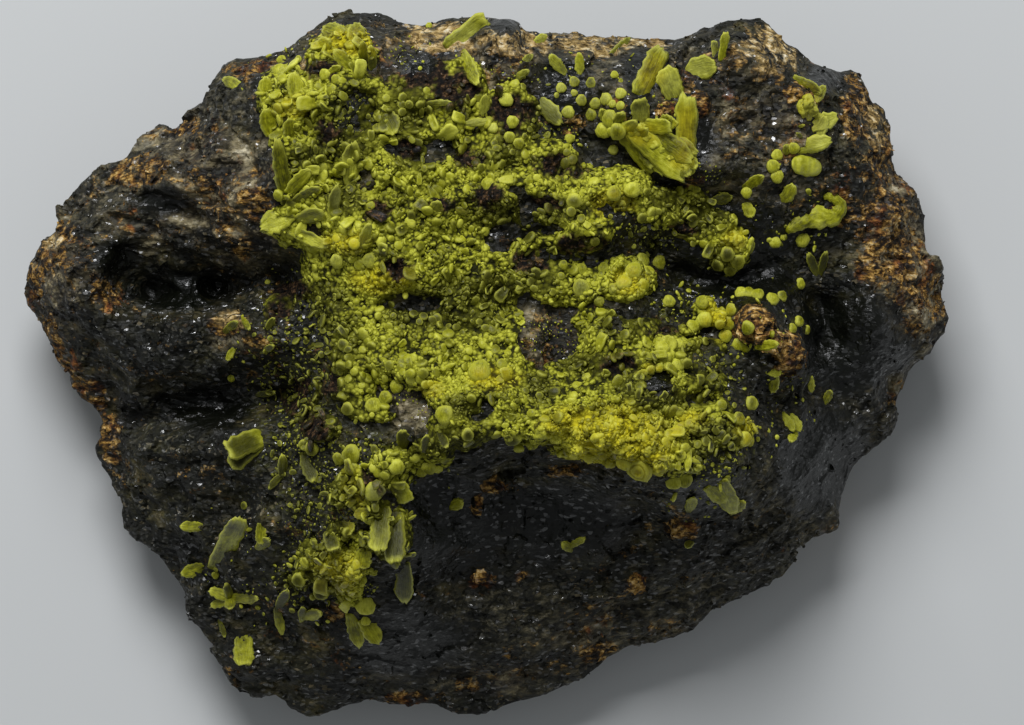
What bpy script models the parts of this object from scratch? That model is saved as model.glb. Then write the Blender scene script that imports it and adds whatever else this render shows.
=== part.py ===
"""Cejkaite specimen: a broken lump of uranium ore, crusted on top with small yellow-green crystals.

The rock is one piece and lies on a broad flat break. X runs along its longest side, Z is up, and the
origin is at the middle of the box's underside. The crystals sit a hair above the rock, each group of
touching ones as a solid of its own. Places and sizes in the lists are in millimetres.
"""

import math
import random

import bmesh
import bpy
import numpy as np
from mathutils import Matrix, Vector, noise
from mathutils.bvhtree import BVHTree
from mathutils.geometry import delaunay_2d_cdt

MM = 0.001
SEED = 7

# Rock: its outline seen from above, clockwise from the blunt left nose (36.0 by 27.4).
OUTLINE = [
    (-18, 3), (-17.7, 4), (-17.2, 4.7), (-16.5, 5.4), (-16.3, 6.3), (-15.7, 7.1), (-15, 7.6), (-13.9, 8), (-13.3, 8.8),
    (-12.5, 9.3), (-12, 9.1), (-11.3, 9.8), (-10.8, 10.3), (-10.5, 11.1), (-9.9, 11.7), (-9.1, 11.9), (-7.9, 12), (-7.1, 12.6),
    (-6.3, 13.2), (-5.2, 13.7), (-3.9, 13.6), (-3.2, 13.3), (-2.4, 13.1), (-1.4, 13.4), (0.6, 13.4), (1.3, 13.3), (1.6, 12.8),
    (2.7, 12.8), (4.5, 12.7), (6.1, 12.6), (7.2, 12.5), (8, 12.7), (8.6, 13), (9.6, 13.3), (10.6, 13.5), (11, 13.3),
    (11.5, 12.6), (12.1, 12.3), (12.7, 11.7), (13.7, 11.4), (14.5, 11.4), (14.8, 10.9), (15.1, 10.3), (15.6, 9.9), (15.8, 9.1),
    (15.9, 8.3), (16, 7.4), (16.7, 6.8), (17, 6.1), (17.1, 5.3), (17.1, 4.4), (17.7, 4), (17.9, 3.4), (17.8, 2.7),
    (18, 1.8), (17.9, 1.2), (17.4, 0.5), (16.7, -0.1), (16.4, -0.8), (16, -1.4), (16, -2.2), (15.7, -2.9), (14.9, -3.5),
    (14.3, -4.1), (14, -4.9), (13.8, -5.8), (13.8, -6.4), (13.1, -6.7), (12.2, -7.1), (12.2, -7.6), (11.5, -8.3), (10.2, -9),
    (9, -9.5), (8.1, -10.4), (7.2, -10.7), (6.1, -10.9), (5.1, -11.2), (4.5, -11.8), (3.4, -12.4), (2, -13), (1, -13.3),
    (0.1, -13.7), (-1, -13.7), (-2.1, -13.3), (-3.2, -13.2), (-4.4, -13.1), (-5.5, -13.4), (-6.9, -13.7), (-7.5, -13.5), (-8.1, -13),
    (-9.6, -12.9), (-10.1, -12.1), (-10.5, -11.2), (-11, -10.5), (-11.5, -9.7), (-11.8, -8.8), (-12.3, -8), (-12.9, -7.2), (-14.1, -6.4),
    (-14.2, -5.4), (-14.6, -4.5), (-15, -3.9), (-15.2, -3.2), (-14.9, -2.7), (-15, -1.9), (-15.5, -1.4), (-16, -1), (-16.1, -0.4),
    (-16.8, 0.2), (-17, 1.1), (-17.6, 2.1),
]
# Heights on the outline, where the top turns over into the flanks: x, y, height.
RIM_HEIGHTS = [
    (-18, 3, 3.6), (-17, 5, 4.6), (-15.7, 7.1, 5.2), (-13.9, 8, 5.8), (-12, 9.1, 6), (-10.8, 10.3, 6.6),
    (-9.9, 11.7, 7), (-7.9, 12, 7.4), (-6.3, 13.2, 7.6), (-3.9, 13.6, 7.6), (-1.4, 13.4, 7.2), (0.8, 13.4, 7.6),
    (2.7, 12.8, 7.4), (5.3, 12.6, 7.4), (7.2, 12.5, 7.2), (8.6, 13, 7.4), (10.6, 13.5, 7.6), (11.5, 12.6, 7.4),
    (12.7, 11.7, 6.6), (14.8, 10.9, 5.6), (15.6, 9.9, 5.2), (15.9, 8.3, 5.2), (16.7, 6.8, 5), (17.1, 4.8, 5),
    (17.9, 3.1, 4.4), (17.9, 1.2, 3.8), (16.7, -0.1, 3.8), (16, -2.2, 3.4), (14.3, -4.1, 3.2), (13.8, -6.4, 3),
    (12.2, -7.6, 3), (10.2, -9, 3), (8.1, -10.4, 2.8), (6.1, -10.9, 2.8), (4.5, -11.8, 2.8), (2, -13, 2.8),
    (0.1, -13.7, 2.8), (-2.1, -13.3, 3), (-4.4, -13.1, 2.8), (-6.9, -13.7, 2.6), (-9.6, -12.9, 2.6), (-10.5, -11.2, 2.8),
    (-11.5, -9.7, 3), (-12.3, -8, 3.2), (-14.1, -6.4, 3), (-14.6, -4.5, 3.2), (-15.2, -3.2, 3.4), (-15, -1.9, 3.6),
    (-16, -1, 3.4), (-16.8, 0.2, 3.4), (-17.6, 2.1, 3.4),
]
# Heights on the top face: x, y, height. The ledge runs across the middle, over a deep dark hollow.
SPOT_HEIGHTS = [
    (-3, -2.3, 11.4), (-1.7, -2.6, 12.6), (0.6, -2.5, 12.9), (3, -2.9, 12.7), (5.3, -3.8, 12.2), (7.4, -4.3, 11.6),
    (8.9, -4.5, 10.6), (10.1, -4, 9.8), (-2.3, -4.8, 9), (-0.5, -4.4, 9), (1.4, -3.9, 9.2), (3.4, -4.4, 8.8),
    (5.3, -5.2, 8.6), (7.6, -6, 7.8), (0.6, -6.8, 7.4), (3, -7.6, 7.2), (6.1, -8, 6.4), (-1.3, -8.7, 6.4),
    (1.4, -9.9, 5.6), (4.5, -9.9, 5), (-1.7, -11.2, 4.8), (8.4, -7.6, 6.2), (10, -7.6, 5.6), (10.7, -5.6, 7),
    (-3.8, -3.5, 11.3), (-3.2, -5.2, 10.9), (-3.2, -7, 9.9), (-3.2, -9.1, 7.8), (-4.8, -6, 10), (-6, -7.6, 8.6),
    (-5.6, -9.5, 6.6), (-4.4, -10.7, 5.6), (-7.1, -9.1, 6.3), (-7.1, 10.7, 10.2), (-5.2, 11.8, 10.3), (-5.2, 9.9, 10.9),
    (-7.7, 8, 10.4), (-7.1, 5.8, 10.8), (-5.2, 7.2, 11.2), (-3.2, 8.7, 10.9), (-3.2, 5.6, 11.3), (-6, 3.9, 10.6),
    (-3.6, 2.9, 11.2), (-1.3, 10.7, 10.3), (-0.5, 8, 10.7), (0.6, 5.8, 10.9), (-1.3, 4.5, 10.8), (0.6, 2.9, 10.3),
    (-2.1, 1.4, 11), (-4, -0.2, 11), (-5.6, 1.4, 10.2), (-0.1, -0.2, 11.3), (2.6, -0.6, 11.4), (3, 1.7, 10.6),
    (2.2, 9.5, 10.3), (3, 6.8, 10.6), (4.5, 8, 10.2), (4.9, 5.8, 10.7), (4.5, 4.1, 10), (6.1, 2.5, 10.1),
    (6.1, 0.2, 10.9), (8, -2.1, 11.2), (9.6, -1.4, 10), (-7.1, 12, 9.2), (-4, 12.8, 9.2), (-1.3, 12.6, 9),
    (0.8, 13, 9.3), (3, 12, 9.4), (5.7, 11.8, 9.3), (8, 11.8, 9.1), (10.3, 12.4, 9.4), (12.3, 10.9, 8.8),
    (6.8, 9.9, 10.2), (9.2, 9.5, 9.8), (11.1, 9.9, 9), (8, 7.6, 10.3), (10, 7.4, 9.8), (6.5, 7.2, 9.8),
    (8.4, 6.2, 8.9), (10.7, 5.8, 8.6), (12.3, 7.6, 8.7), (13.8, 9.5, 8), (15, 8.3, 7.2), (13.1, 5.8, 7.9),
    (14.2, 6.8, 8), (7.6, 3.7, 8.6), (10, 4.1, 8.6), (11.9, 4.1, 7.4), (13.1, 2.5, 6.4), (14.6, 5.2, 7.6),
    (15.8, 6, 6.6), (16.2, 4.1, 6.4), (14.6, 2.9, 7.2), (17.1, 2.9, 5.6), (10.7, 1.7, 10.2), (11.9, 0.2, 9.2),
    (9.2, 1.7, 9.6), (10, -0.2, 9.3), (13.1, 0.6, 6.2), (13.4, -1.4, 6), (15.4, 1.4, 6.6), (16.9, 1.4, 5.2),
    (15, -0.6, 6), (11.5, -2.1, 7.9), (13.8, -3.3, 5.4), (11.9, -4.5, 6.6), (12.3, -6, 5), (-8.9, 10.7, 9.6),
    (-10, 9.1, 8.8), (-8.7, 8.3, 9.8), (-11.4, 8.3, 8.2), (-12.9, 7, 7.9), (-10.4, 6.4, 9.4), (-8.5, 5.8, 10),
    (-14.5, 6.8, 6.6), (-12.5, 5.4, 7.8), (-10.4, 4.8, 8.5), (-8.3, 4.5, 9), (-15.3, 5.2, 6.8), (-16.4, 4.1, 6.2),
    (-17, 2.9, 5.2), (-15.8, 2.5, 6.6), (-14.5, 3.3, 6.8), (-13.7, 2.5, 6.2), (-12.5, 2.9, 5.6), (-10.2, 3.1, 5.9),
    (-7.9, 3.1, 8), (-6.5, 2.5, 9.6), (-9.4, 1.8, 8.9), (-11.8, 1.6, 8), (-13.7, 1.2, 7), (-15.3, 1, 6),
    (-7.5, 1.2, 9.6), (-9.4, 0.6, 8.2), (-11.8, 0.2, 7.4), (-9.8, -1.2, 6.4), (-11.8, -1.4, 5.8), (-7.7, -1.4, 7.6),
    (-6, -1.4, 9.9), (-13.7, -1, 5.6), (-14.9, -0.2, 4.4), (-9.4, -2.5, 7.8), (-11.4, -2.9, 7), (-13.3, -2.9, 5.4),
    (-7.5, -2.9, 9), (-5.6, -2.9, 10.4), (-9.8, -4.1, 7.3), (-12.2, -4.5, 5.6), (-13.7, -4.8, 4.4), (-7.5, -4.8, 8.7),
    (-9.4, -6, 6.9), (-11.4, -6.4, 5.4), (-8.3, -7.6, 7), (-10.2, -8.3, 5.2), (-8.9, -9.9, 5), (-9.3, -11.8, 3.9),
    (-7.1, -11.4, 4.7), (-5.2, -12.2, 4.2),
]
# Narrow furrows: depth, half width, then the points they run through.
FURROWS = [
    (1.1, 0.55, [(-13.6, 2.7), (-11.8, 2.9), (-10.0, 3.0), (-7.9, 3.1)]),
    (0.9, 0.6, [(-12.4, -1.4), (-10.4, -1.5), (-8.9, -1.4), (-7.3, -1.3)]),
    (0.8, 0.6, [(6.5, 4.0), (8.0, 3.3), (9.8, 3.1), (11.3, 3.8)]),
    (0.7, 0.5, [(12.7, 2.5), (13.1, 0.8), (12.6, -1.0), (11.1, -1.4)]),
    (0.5, 0.4, [(3.7, 8.9), (5.0, 8.3), (5.9, 7.8)]),
    (0.5, 0.4, [(6.7, 7.1), (8.0, 6.8), (9.6, 6.4)]),
    (0.7, 0.5, [(-13.5, 6.6), (-12.0, 6.2), (-10.6, 5.6)]),
    (0.6, 0.45, [(-15.0, -1.6), (-13.4, -2.0), (-12.2, -2.2)]),
    (0.6, 0.5, [(10.6, -8.2), (8.0, -8.9), (5.2, -9.4)]),
]
# Knobs that stand out of the rock: x, y, radius, height.
KNOBS = [
    (1.9, 1.2, 0.85, 0.7), (-2.9, -1.1, 0.5, 0.5), (6.7, -0.7, 0.7, 0.7), (10.4, 1.8, 0.9, 0.7), (11.7, 0.5, 1, 0.6),
    (0.8, 13.1, 0.9, 0.6), (9.3, 6, 0.5, 0.4), (0.3, -4.7, 0.6, 0.5), (-0.2, -5.5, 0.4, 0.4), (0.1, -8.3, 0.5, 0.4),
    (5.9, -8.5, 0.5, 0.4), (6.1, 6.1, 0.7, 0.45), (8.4, 7.5, 0.9, 0.4), (7.7, -6.4, 0.5, 0.5), (-16.4, 3.6, 1.5, 0.5),
    (-9.4, 1.7, 1, 0.5), (17.3, 3.6, 0.8, 0.5), (-9.6, -3.5, 1.1, 0.4), (0.4, 6.6, 0.6, 0.5), (-3.2, 3.8, 0.5, 0.4),
]
SOFTNESS = 0.5          # rounding of the surface laid through the heights
TOP_SPACING = 0.98      # between points on the rock's top
EDGE_SPACING = 0.86     # between points on its outline
LUMP_SIZE = 2.4         # broad lumps of the broken surface
LUMP_HEIGHT = 0.45
GRAIN_SIZE = 1.0        # ragged grain on the lumps
GRAIN_HEIGHT = 0.28
# Flanks, from the outline down to the base: share of the outline's reach, share of its height.
FLANK_STEPS = [(0.98, 0.7), (0.935, 0.42), (0.86, 0.16), (0.775, 0.0)]
FLANK_WANDER = 0.035    # how far a flank swells and sinks, as a share of the reach

# Crust: patches of crowded grains, x, y, half length along x, half length along y.
CRUST_PATCHES = {
    "crust_main": [
        (-7.5, 10.3, 1.2, 1.2), (-5.4, 11.6, 1.4, 1.5), (-5.1, 9.5, 2.1, 1.7), (-7.1, 8.7, 1.1, 0.9), (-6, 6.8, 1.9, 1.7),
        (-7.1, 5.4, 1.2, 0.9), (-2.7, 9.7, 1.6, 1.5), (-1, 10.5, 1.2, 1.3), (-2.1, 7.8, 2.3, 1.7), (-3.2, 5.4, 2.7, 1.9),
        (-5.4, 4, 1.6, 1.4), (-0.7, 5.6, 2.2, 1.6), (0.8, 7.8, 1.7, 1), (2.4, 7.8, 1.3, 0.9), (1, 9.5, 1.2, 1.3),
        (3.5, 6.8, 1.8, 0.9), (5.4, 6.8, 1.1, 0.9), (3.4, 5.2, 1.6, 1), (0.8, 4, 1.7, 1.6), (-1.3, 2.9, 2.3, 1.8),
        (-4.2, 2.1, 2.2, 1.8), (-5.4, 0.4, 1.2, 1.4), (-2.5, 0.6, 2.2, 1.6), (-0.1, -0.7, 2.3, 1.4), (-0.1, 1.4, 1.8, 1.7),
        (3.2, 3.1, 1.4, 0.9), (5.4, 3.3, 1.2, 0.9), (4.3, 1, 1.4, 1.2), (6.1, 0.7, 1.6, 1.1), (4.5, -0.8, 3, 1.3),
        (2.4, -2.1, 2.2, 0.9), (4.5, -2.8, 2.2, 0.9), (6.5, -2.9, 1.7, 1.2), (8, -2.1, 1.6, 1.3), (9.5, -2.6, 0.9, 0.7),
        (7.2, -3.8, 1.2, 0.5), (-0.8, -2.4, 1.4, 0.8), (-2, -3.4, 0.9, 0.7), (-4.3, -1.7, 1.2, 0.5), (-5.1, -0.9, 0.9, 0.8),
        (-6.3, -0.7, 0.6, 1), (7.3, 6.1, 1.5, 0.8), (8.6, 5.3, 1.2, 0.7), (9.4, 4.5, 0.9, 0.9), (8, -0.6, 1.3, 0.9),
        (8.4, 0.6, 0.9, 0.5),
    ],
    "crust_lower_left": [
        (-5, -4.4, 0.6, 0.6), (-5.4, -4.9, 0.7, 0.5), (-3.5, -4, 0.9, 1), (-4.1, -5.2, 1, 0.9), (-3.5, -6.5, 0.8, 1.2),
        (-5.6, -7.8, 1.1, 1.2), (-6.7, -7.3, 0.5, 0.6), (-5.1, -8.8, 0.5, 0.5), (-7.1, -8.3, 0.5, 0.4), (-4.6, -6.8, 0.5, 0.5),
        (-5.6, -6.6, 0.5, 0.6),
    ],
    "crust_knob_left": [
        (8.5, 2.1, 0.5, 0.6), (9, 1.8, 0.4, 0.4), (7.9, 1.4, 0.5, 0.3),
    ],
}
# Bare knobs inside the crust, in the same terms.
CRUST_HOLES = [
    (2.5, 1, 1.2, 0.9), (6.7, -0.7, 0.5, 0.5), (-2.9, -1.5, 0.8, 0.4),
]
CRUST_SPACING = 0.84    # between points on the crust
CRUST_RAGGEDNESS = 0.35
CRUST_THICKNESS = 0.24  # at its edge
CRUST_SWELL = 0.42      # more towards the middle of a patch
CRUST_GRAIN = 0.3       # unevenness of its top, from point to point
ROOT_DEPTH = 0.3        # how far crust and crystals start below the rock, before they are trimmed to it
SEAT_GAP = 0.035        # left between the rock and what grew on it
TRIMMER_DEPTH = 2.0     # how far the trimming block reaches below the rock's base

# Tablets and blades, by the piece they belong to: root x, y, tip x, y, width, roll in degrees about the
# long axis, how far the tip stands off the surface, thickness.
TABLETS = {
    "crust_main": [
        (-5.37, 12.69, -6.19, 12.96, 0.78, 15, 0.23, 0.12), (-5.1, 12.45, -4.71, 13.07, 0.78, 15, 0.19, 0.12),
        (-6.58, 12.06, -5.88, 12.45, 0.62, 0, 0.19, 0.27), (-5.02, 11.29, -5.72, 12.06, 0.58, 20, 0.35, 0.12),
        (-4.25, 11.29, -4.33, 12.22, 0.47, 20, 0.39, 0.12), (-4.56, 11.37, -4.64, 12.38, 0.39, 15, 0.39, 0.12),
        (-8.36, 9.97, -8.36, 11.06, 0.58, 15, 0.23, 0.12), (-7.12, 9.97, -7.27, 11.21, 0.7, 15, 0.31, 0.12),
        (-8.13, 8.81, -8.36, 9.81, 0.78, 15, 0.23, 0.12), (-7.43, 8.65, -7.43, 9.43, 0.54, 15, 0.27, 0.12),
        (-5.26, 8.73, -4.56, 10.51, 1.4, 20, 0.93, 0.12), (-3.86, 9.81, -3.39, 8.84, 0.85, 10, 0.35, 0.12),
        (-5.1, 6.87, -5.02, 8.5, 0.78, 10, 0.39, 0.12), (-7.58, 6.17, -7.89, 8.61, 0.62, 10, 0.47, 0.13),
        (-7.51, 6.56, -6.65, 7.49, 0.62, 25, 0.35, 0.12), (-7.27, 6.25, -6.27, 6.79, 0.54, 35, 0.35, 0.12),
        (-5.8, 5.47, -5.61, 6.87, 0.5, 20, 0.47, 0.12), (-7.27, 5.86, -8.52, 5.24, 1.01, 15, 0.35, 0.13),
        (-7.12, 5.55, -6.11, 5.86, 0.78, 35, 0.31, 0.16), (-0.83, 12.03, -0.21, 10.75, 0.62, 25, 0.35, 0.12),
        (0.02, 9.5, 0.06, 10.36, 0.47, 15, 0.27, 0.12), (-0.83, 9.23, 0.25, 9.35, 0.35, 0, 0.19, 0.12),
        (2.11, 10.16, 2.97, 9.27, 0.74, 15, 0.39, 0.16), (-4.71, 4.46, -4.33, 5.39, 0.47, 20, 0.39, 0.12),
        (7, 0.5, 7.16, 1.12, 0.78, 15, 0.23, 0.16), (7.86, -3.1, 7.78, -4.07, 0.31, 20, 0.23, 0.12),
        (-7.58, 5.24, -5.95, 4.54, 0.54, 15, 0.23, 0.12),
    ],
    "crust_lower_left": [
        (-3.86, -5.43, -4.02, -7.1, 0.85, 20, 0.35, 0.12), (-3.39, -5.55, -3.39, -7.56, 0.85, 15, 0.35, 0.12),
        (-5.95, -6.4, -5.72, -7.1, 0.58, 0, 0.31, 0.19), (-5.41, -6.01, -5.02, -6.4, 0.54, 10, 0.23, 0.13),
        (-4.56, -7.1, -4.71, -7.8, 0.7, 20, 0.27, 0.12), (-3.32, -4.46, -2.93, -5.24, 0.7, 15, 0.27, 0.16),
    ],
    "spray_top_right": [
        (5.37, 8.96, 6.61, 7.49, 0.85, 15, 0.27, 0.16), (5.61, 9.12, 7.7, 7.25, 0.93, 10, 0.31, 0.16),
        (6.07, 9.19, 7.16, 9.12, 0.62, 15, 0.23, 0.12), (6.07, 9.19, 5.95, 10.16, 0.74, 10, 0.31, 0.13),
        (7.78, 7.49, 7.78, 10.28, 0.85, 10, 0.54, 0.16), (7, 9.12, 7.31, 9.43, 0.54, 10, 0.19, 0.12),
    ],
    "leaf_pair": [
        (5.92, 10.32, 6.85, 12.14, 0.89, 15, 0.47, 0.13), (7.39, 10.24, 6.92, 11.37, 0.93, 15, 0.31, 0.12),
    ],
    "blade_top": [(-1.45, 12.14, 0.1, 13.31, 0.62, 15, 0.31, 0.16)],
    "splinter_top": [(4.87, 11.95, 5.64, 12.61, 0.31, 10, 0.23, 0.12)],
    "tablet_top": [(3.7, 11.13, 3.67, 11.99, 0.39, 10, 0.23, 0.12)],
    "leaf_top": [(3.16, 11.13, 2.54, 11.91, 0.47, 15, 0.23, 0.12)],
    "flake_hex": [(7.78, 11.29, 8.9, 11.52, 0.97, 5, 0.19, 0.12)],
    "stack_top_right": [
        (9.14, 11.68, 9.29, 12.76, 0.39, 25, 0.27, 0.12), (8.94, 11.72, 8.86, 12.45, 0.31, 20, 0.23, 0.12),
    ],
    "stack_right": [
        (11.89, 11.06, 12.98, 10.47, 0.5, 10, 0.23, 0.12), (12.74, 10.12, 13.13, 10.75, 0.43, 10, 0.23, 0.12),
        (12.43, 9.43, 12.55, 10.32, 0.85, 10, 0.27, 0.19), (12.59, 9.12, 13.6, 9.58, 0.66, 10, 0.27, 0.13),
        (12.05, 8.34, 13.36, 8.65, 0.7, 5, 0.31, 0.13), (12.9, 8.73, 13.13, 9.58, 0.54, 15, 0.23, 0.12),
    ],
    "tablets_right": [(9.99, 6.79, 10.73, 7.25, 0.43, 5, 0.19, 0.12)],
    "flake_right": [(11.5, 6.25, 11.93, 6.94, 0.54, 10, 0.19, 0.12)],
    "sprig_right": [
        (12.98, 3.45, 13.21, 4.38, 0.35, 15, 0.27, 0.12), (12.9, 3.45, 12.51, 4.31, 0.39, 15, 0.27, 0.12),
    ],
    "tablet_knob_right": [(10.45, 0.7, 11.27, 0.81, 0.43, 0, 0.23, 0.16)],
    "tablets_low_right": [
        (10.84, -0.23, 11.42, -0.31, 0.39, 0, 0.19, 0.12), (11.23, -0.35, 11.11, -1.05, 0.43, 5, 0.23, 0.13),
    ],
    "tablet_far_right": [(12.63, -0.43, 12.67, -1.05, 0.31, 0, 0.16, 0.12)],
    "grain_far_right": [(13.17, -1.51, 13.44, -0.97, 0.35, 0, 0.19, 0.13)],
    "cluster_low_right": [
        (11.5, -1.86, 11.97, -2.52, 0.43, 10, 0.27, 0.12), (11.81, -1.9, 12.24, -2.52, 0.43, 10, 0.27, 0.12),
        (12.05, -2.52, 11.81, -2.95, 0.39, 5, 0.23, 0.13),
    ],
    "flake_ledge_low": [
        (8.55, -4.62, 9.33, -5.24, 0.66, 10, 0.27, 0.13), (9.1, -4.38, 9.56, -5.7, 0.85, 15, 0.31, 0.13),
        (9.48, -5.7, 10.03, -5.24, 0.47, 10, 0.27, 0.12),
    ],
    "chip_hollow": [(-1.3, -5.47, -0.8, -5.24, 0.5, 5, 0.23, 0.19)],
    "tabs_hollow": [
        (3.43, -7.14, 3.01, -6.87, 0.39, 5, 0.19, 0.12), (3.28, -7.02, 3.9, -6.67, 0.31, 10, 0.23, 0.12),
    ],
    "fan_lower_left": [
        (-8.52, -2.75, -9.87, -3.3, 0.93, 10, 0.35, 0.13), (-8.59, -2.91, -9.76, -3.84, 0.78, 10, 0.35, 0.13),
    ],
    "blade_lower_left": [(-10.45, -7.91, -9.37, -5.94, 0.85, 10, 0.39, 0.13)],
    "tablet_left_dark": [(-10.84, -6.25, -11.73, -6.25, 0.47, 10, 0.19, 0.12)],
    "tablet_left_round": [(-10.84, -7.8, -11.77, -8.15, 0.54, 5, 0.23, 0.12)],
    "star_lower_left": [
        (-9.76, -9.08, -10.65, -8.73, 0.47, 10, 0.23, 0.12), (-9.83, -9.12, -9.99, -8.46, 0.39, 10, 0.27, 0.12),
        (-9.91, -8.96, -9.83, -9.47, 0.43, 5, 0.23, 0.12), (-9.91, -9.04, -8.75, -9.04, 0.47, 10, 0.23, 0.12),
    ],
    "tablet_bottom_left": [(-9.33, -10.51, -9.33, -11.64, 0.81, 10, 0.27, 0.13)],
    "tabs_lower_left": [
        (-8.01, -9.47, -7.58, -8.69, 0.43, 10, 0.27, 0.12), (-8.05, -9.35, -7.82, -10.44, 0.39, 10, 0.23, 0.12),
    ],
    "pair_bottom": [
        (-4.71, -9.81, -4.02, -10.75, 0.74, 10, 0.31, 0.16), (-5.18, -9.58, -4.79, -10.9, 0.66, 20, 0.23, 0.12),
    ],
    "cluster_left": [(-6.89, -3.38, -6.5, -4.46, 0.7, 10, 0.23, 0.12)],
    "tablet_ledge_left": [(-3.08, -3.18, -3.08, -2.48, 0.54, 5, 0.23, 0.16)],
    "chip_upper_left": [(-9.21, 10.59, -10.03, 11.06, 0.5, 10, 0.19, 0.12)],
}
TABLET_OUTLINE = [(0.0, 0.3), (0.62, 0.5), (1.0, 0.28)]  # share of length, share of width each side

# Round button crystals, by the piece they belong to: x, y, radius.
BUTTONS = {
    "crust_main": [
        (3.74, 2.95, 0.37), (0.87, 10.16, 0.27), (1.34, 8.5, 0.23), (5.37, 6.32, 0.27), (6.07, 4, 0.31),
        (-5.1, 4.46, 0.31), (-3.32, -0.81, 0.27), (-4.21, -1.55, 0.31), (-1.77, -1.05, 0.54), (1.11, -2.75, 0.35),
        (4.13, -2.33, 0.47), (4.71, -2.75, 0.47), (5.37, -3.72, 0.31), (5.99, -3.88, 0.58), (6.46, -2.91, 0.47),
        (6.07, -2.33, 0.47), (2.97, -1.82, 0.39), (8.01, -2.33, 0.35), (8.98, -2.13, 0.31), (9.25, 4.97, 0.43),
        (9.6, -2.83, 0.35), (9.45, -0.27, 0.35), (8.86, -0.78, 0.47), (-0.6, -2.64, 0.27), (9.99, -2.83, 0.31),
    ],
    "crust_lower_left": [
        (-5.06, -3.41, 0.39), (-5.53, -3.57, 0.27), (-5.06, -3.92, 0.31), (-4.21, -4.85, 0.39), (-3.63, -3.61, 0.39),
        (-3.32, -3.88, 0.31), (-5.1, -8.15, 0.39), (-5.37, -7.56, 0.39), (-6.27, -8.73, 0.35), (-7.12, -8.26, 0.31),
        (-4.56, -9.27, 0.39),
    ],
    "crust_knob_left": [(8.4, 2.41, 0.27), (8.48, 1.75, 0.31), (8.01, 1.47, 0.27)],
    "spray_top_right": [(4.87, 9.43, 0.35), (4.6, 9, 0.31), (5.14, 8.96, 0.35)],
    "button_row_top": [(4.29, 10.05, 0.23), (4.13, 9.62, 0.25), (4.71, 10.2, 0.25)],
    "button_top_a": [(3.47, 10.86, 0.23)],
    "button_top_b": [(4.13, 10.82, 0.23)],
    "button_top_d": [(3.24, 9.7, 0.25)],
    "stack_right": [(12.28, 9.97, 0.27), (12.59, 9.81, 0.27)],
    "bean_right": [(12.16, 7.68, 0.43), (12.55, 7.64, 0.43)],
    "beads_right": [(11.93, 8.34, 0.23), (11.62, 8.3, 0.23), (11.27, 8.07, 0.23)],
    "cluster_right": [(11.11, 7.64, 0.27), (11.27, 7.25, 0.27)],
    "tablets_right": [(10.11, 6.63, 0.23)],
    "rosette_right": [
        (11.73, 5.2, 0.31), (12.24, 5.43, 0.39), (12.86, 5.7, 0.43), (13.48, 5.94, 0.43), (13.48, 6.44, 0.31),
        (12.28, 4.85, 0.31),
    ],
    "button_right": [(11.23, 4.73, 0.23)],
    "button_right_low": [(12.2, 3.14, 0.23)],
    "beans_knob": [(9.91, 2.75, 0.27), (10.18, 2.75, 0.27), (10.53, 2.68, 0.27)],
    "tablets_knob_left": [(9.52, 2.13, 0.25), (9.41, 1.63, 0.31), (9.29, 1.12, 0.27)],
    "button_knob": [(10.14, 1.44, 0.29)],
    "oval_knob_low": [(9.8, 0.78, 0.27), (10.07, 0.7, 0.23)],
    "ring_knob": [(11.85, 1.4, 0.21), (12.12, 1.67, 0.23), (12.43, 1.36, 0.19)],
    "button_mid": [(6.73, 3.96, 0.29)],
    "button_low_right": [(10.26, -1.47, 0.29)],
    "cluster_ledge_low": [(7.27, -4.46, 0.31), (7.7, -4.38, 0.31)],
    "cluster_left": [(-6.58, -3.18, 0.31), (-6.89, -3.06, 0.23)],
}
BUTTON_SIDES = 6
BUTTON_PROFILE = [(1.0, -0.5), (1.0, 0.35), (0.62, 0.75)]  # shares of the radius: out, up
SMALL_BUTTON = 0.29     # below this radius a button is a plain tapered column
SMALL_PROFILE = [(1.0, -0.5), (0.82, 0.7)]

ROCK_COLOUR = (0.032, 0.028, 0.026)
CRUST_COLOUR = (0.42, 0.40, 0.05)
CRYSTAL_COLOUR = (0.55, 0.55, 0.16)


def clear_scene():
    for old in list(bpy.data.objects):
        bpy.data.objects.remove(old, do_unlink=True)


def make_material(name, colour, roughness):
    material = bpy.data.materials.new(name)
    material.use_nodes = True
    shader = material.node_tree.nodes["Principled BSDF"]
    shader.inputs["Base Color"].default_value = (*colour, 1.0)
    shader.inputs["Roughness"].default_value = roughness
    shader.inputs["Metallic"].default_value = 0.0
    material.diffuse_color = (*colour, 1.0)
    return material


# ---------------------------------------------------------------- the rock's surface, in millimetres


def spread(points, centres):
    gaps = np.linalg.norm(points[:, None, :] - centres[None, :, :], axis=2)
    return np.sqrt(gaps**2 + SOFTNESS**2)


SAMPLES = np.array(RIM_HEIGHTS + SPOT_HEIGHTS)
MEAN_HEIGHT = SAMPLES[:, 2].mean()
WEIGHTS = np.linalg.solve(spread(SAMPLES[:, :2], SAMPLES[:, :2]), SAMPLES[:, 2] - MEAN_HEIGHT)


def distance_to_run(x, y, run):
    """Distance from a point to a run of straight pieces."""
    nearest = math.inf
    for (x0, y0), (x1, y1) in zip(run, run[1:]):
        length = (x1 - x0) ** 2 + (y1 - y0) ** 2
        along = ((x - x0) * (x1 - x0) + (y - y0) * (y1 - y0)) / length
        along = min(1.0, max(0.0, along))
        nearest = min(nearest, math.hypot(x - x0 - along * (x1 - x0), y - y0 - along * (y1 - y0)))
    return nearest


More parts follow.
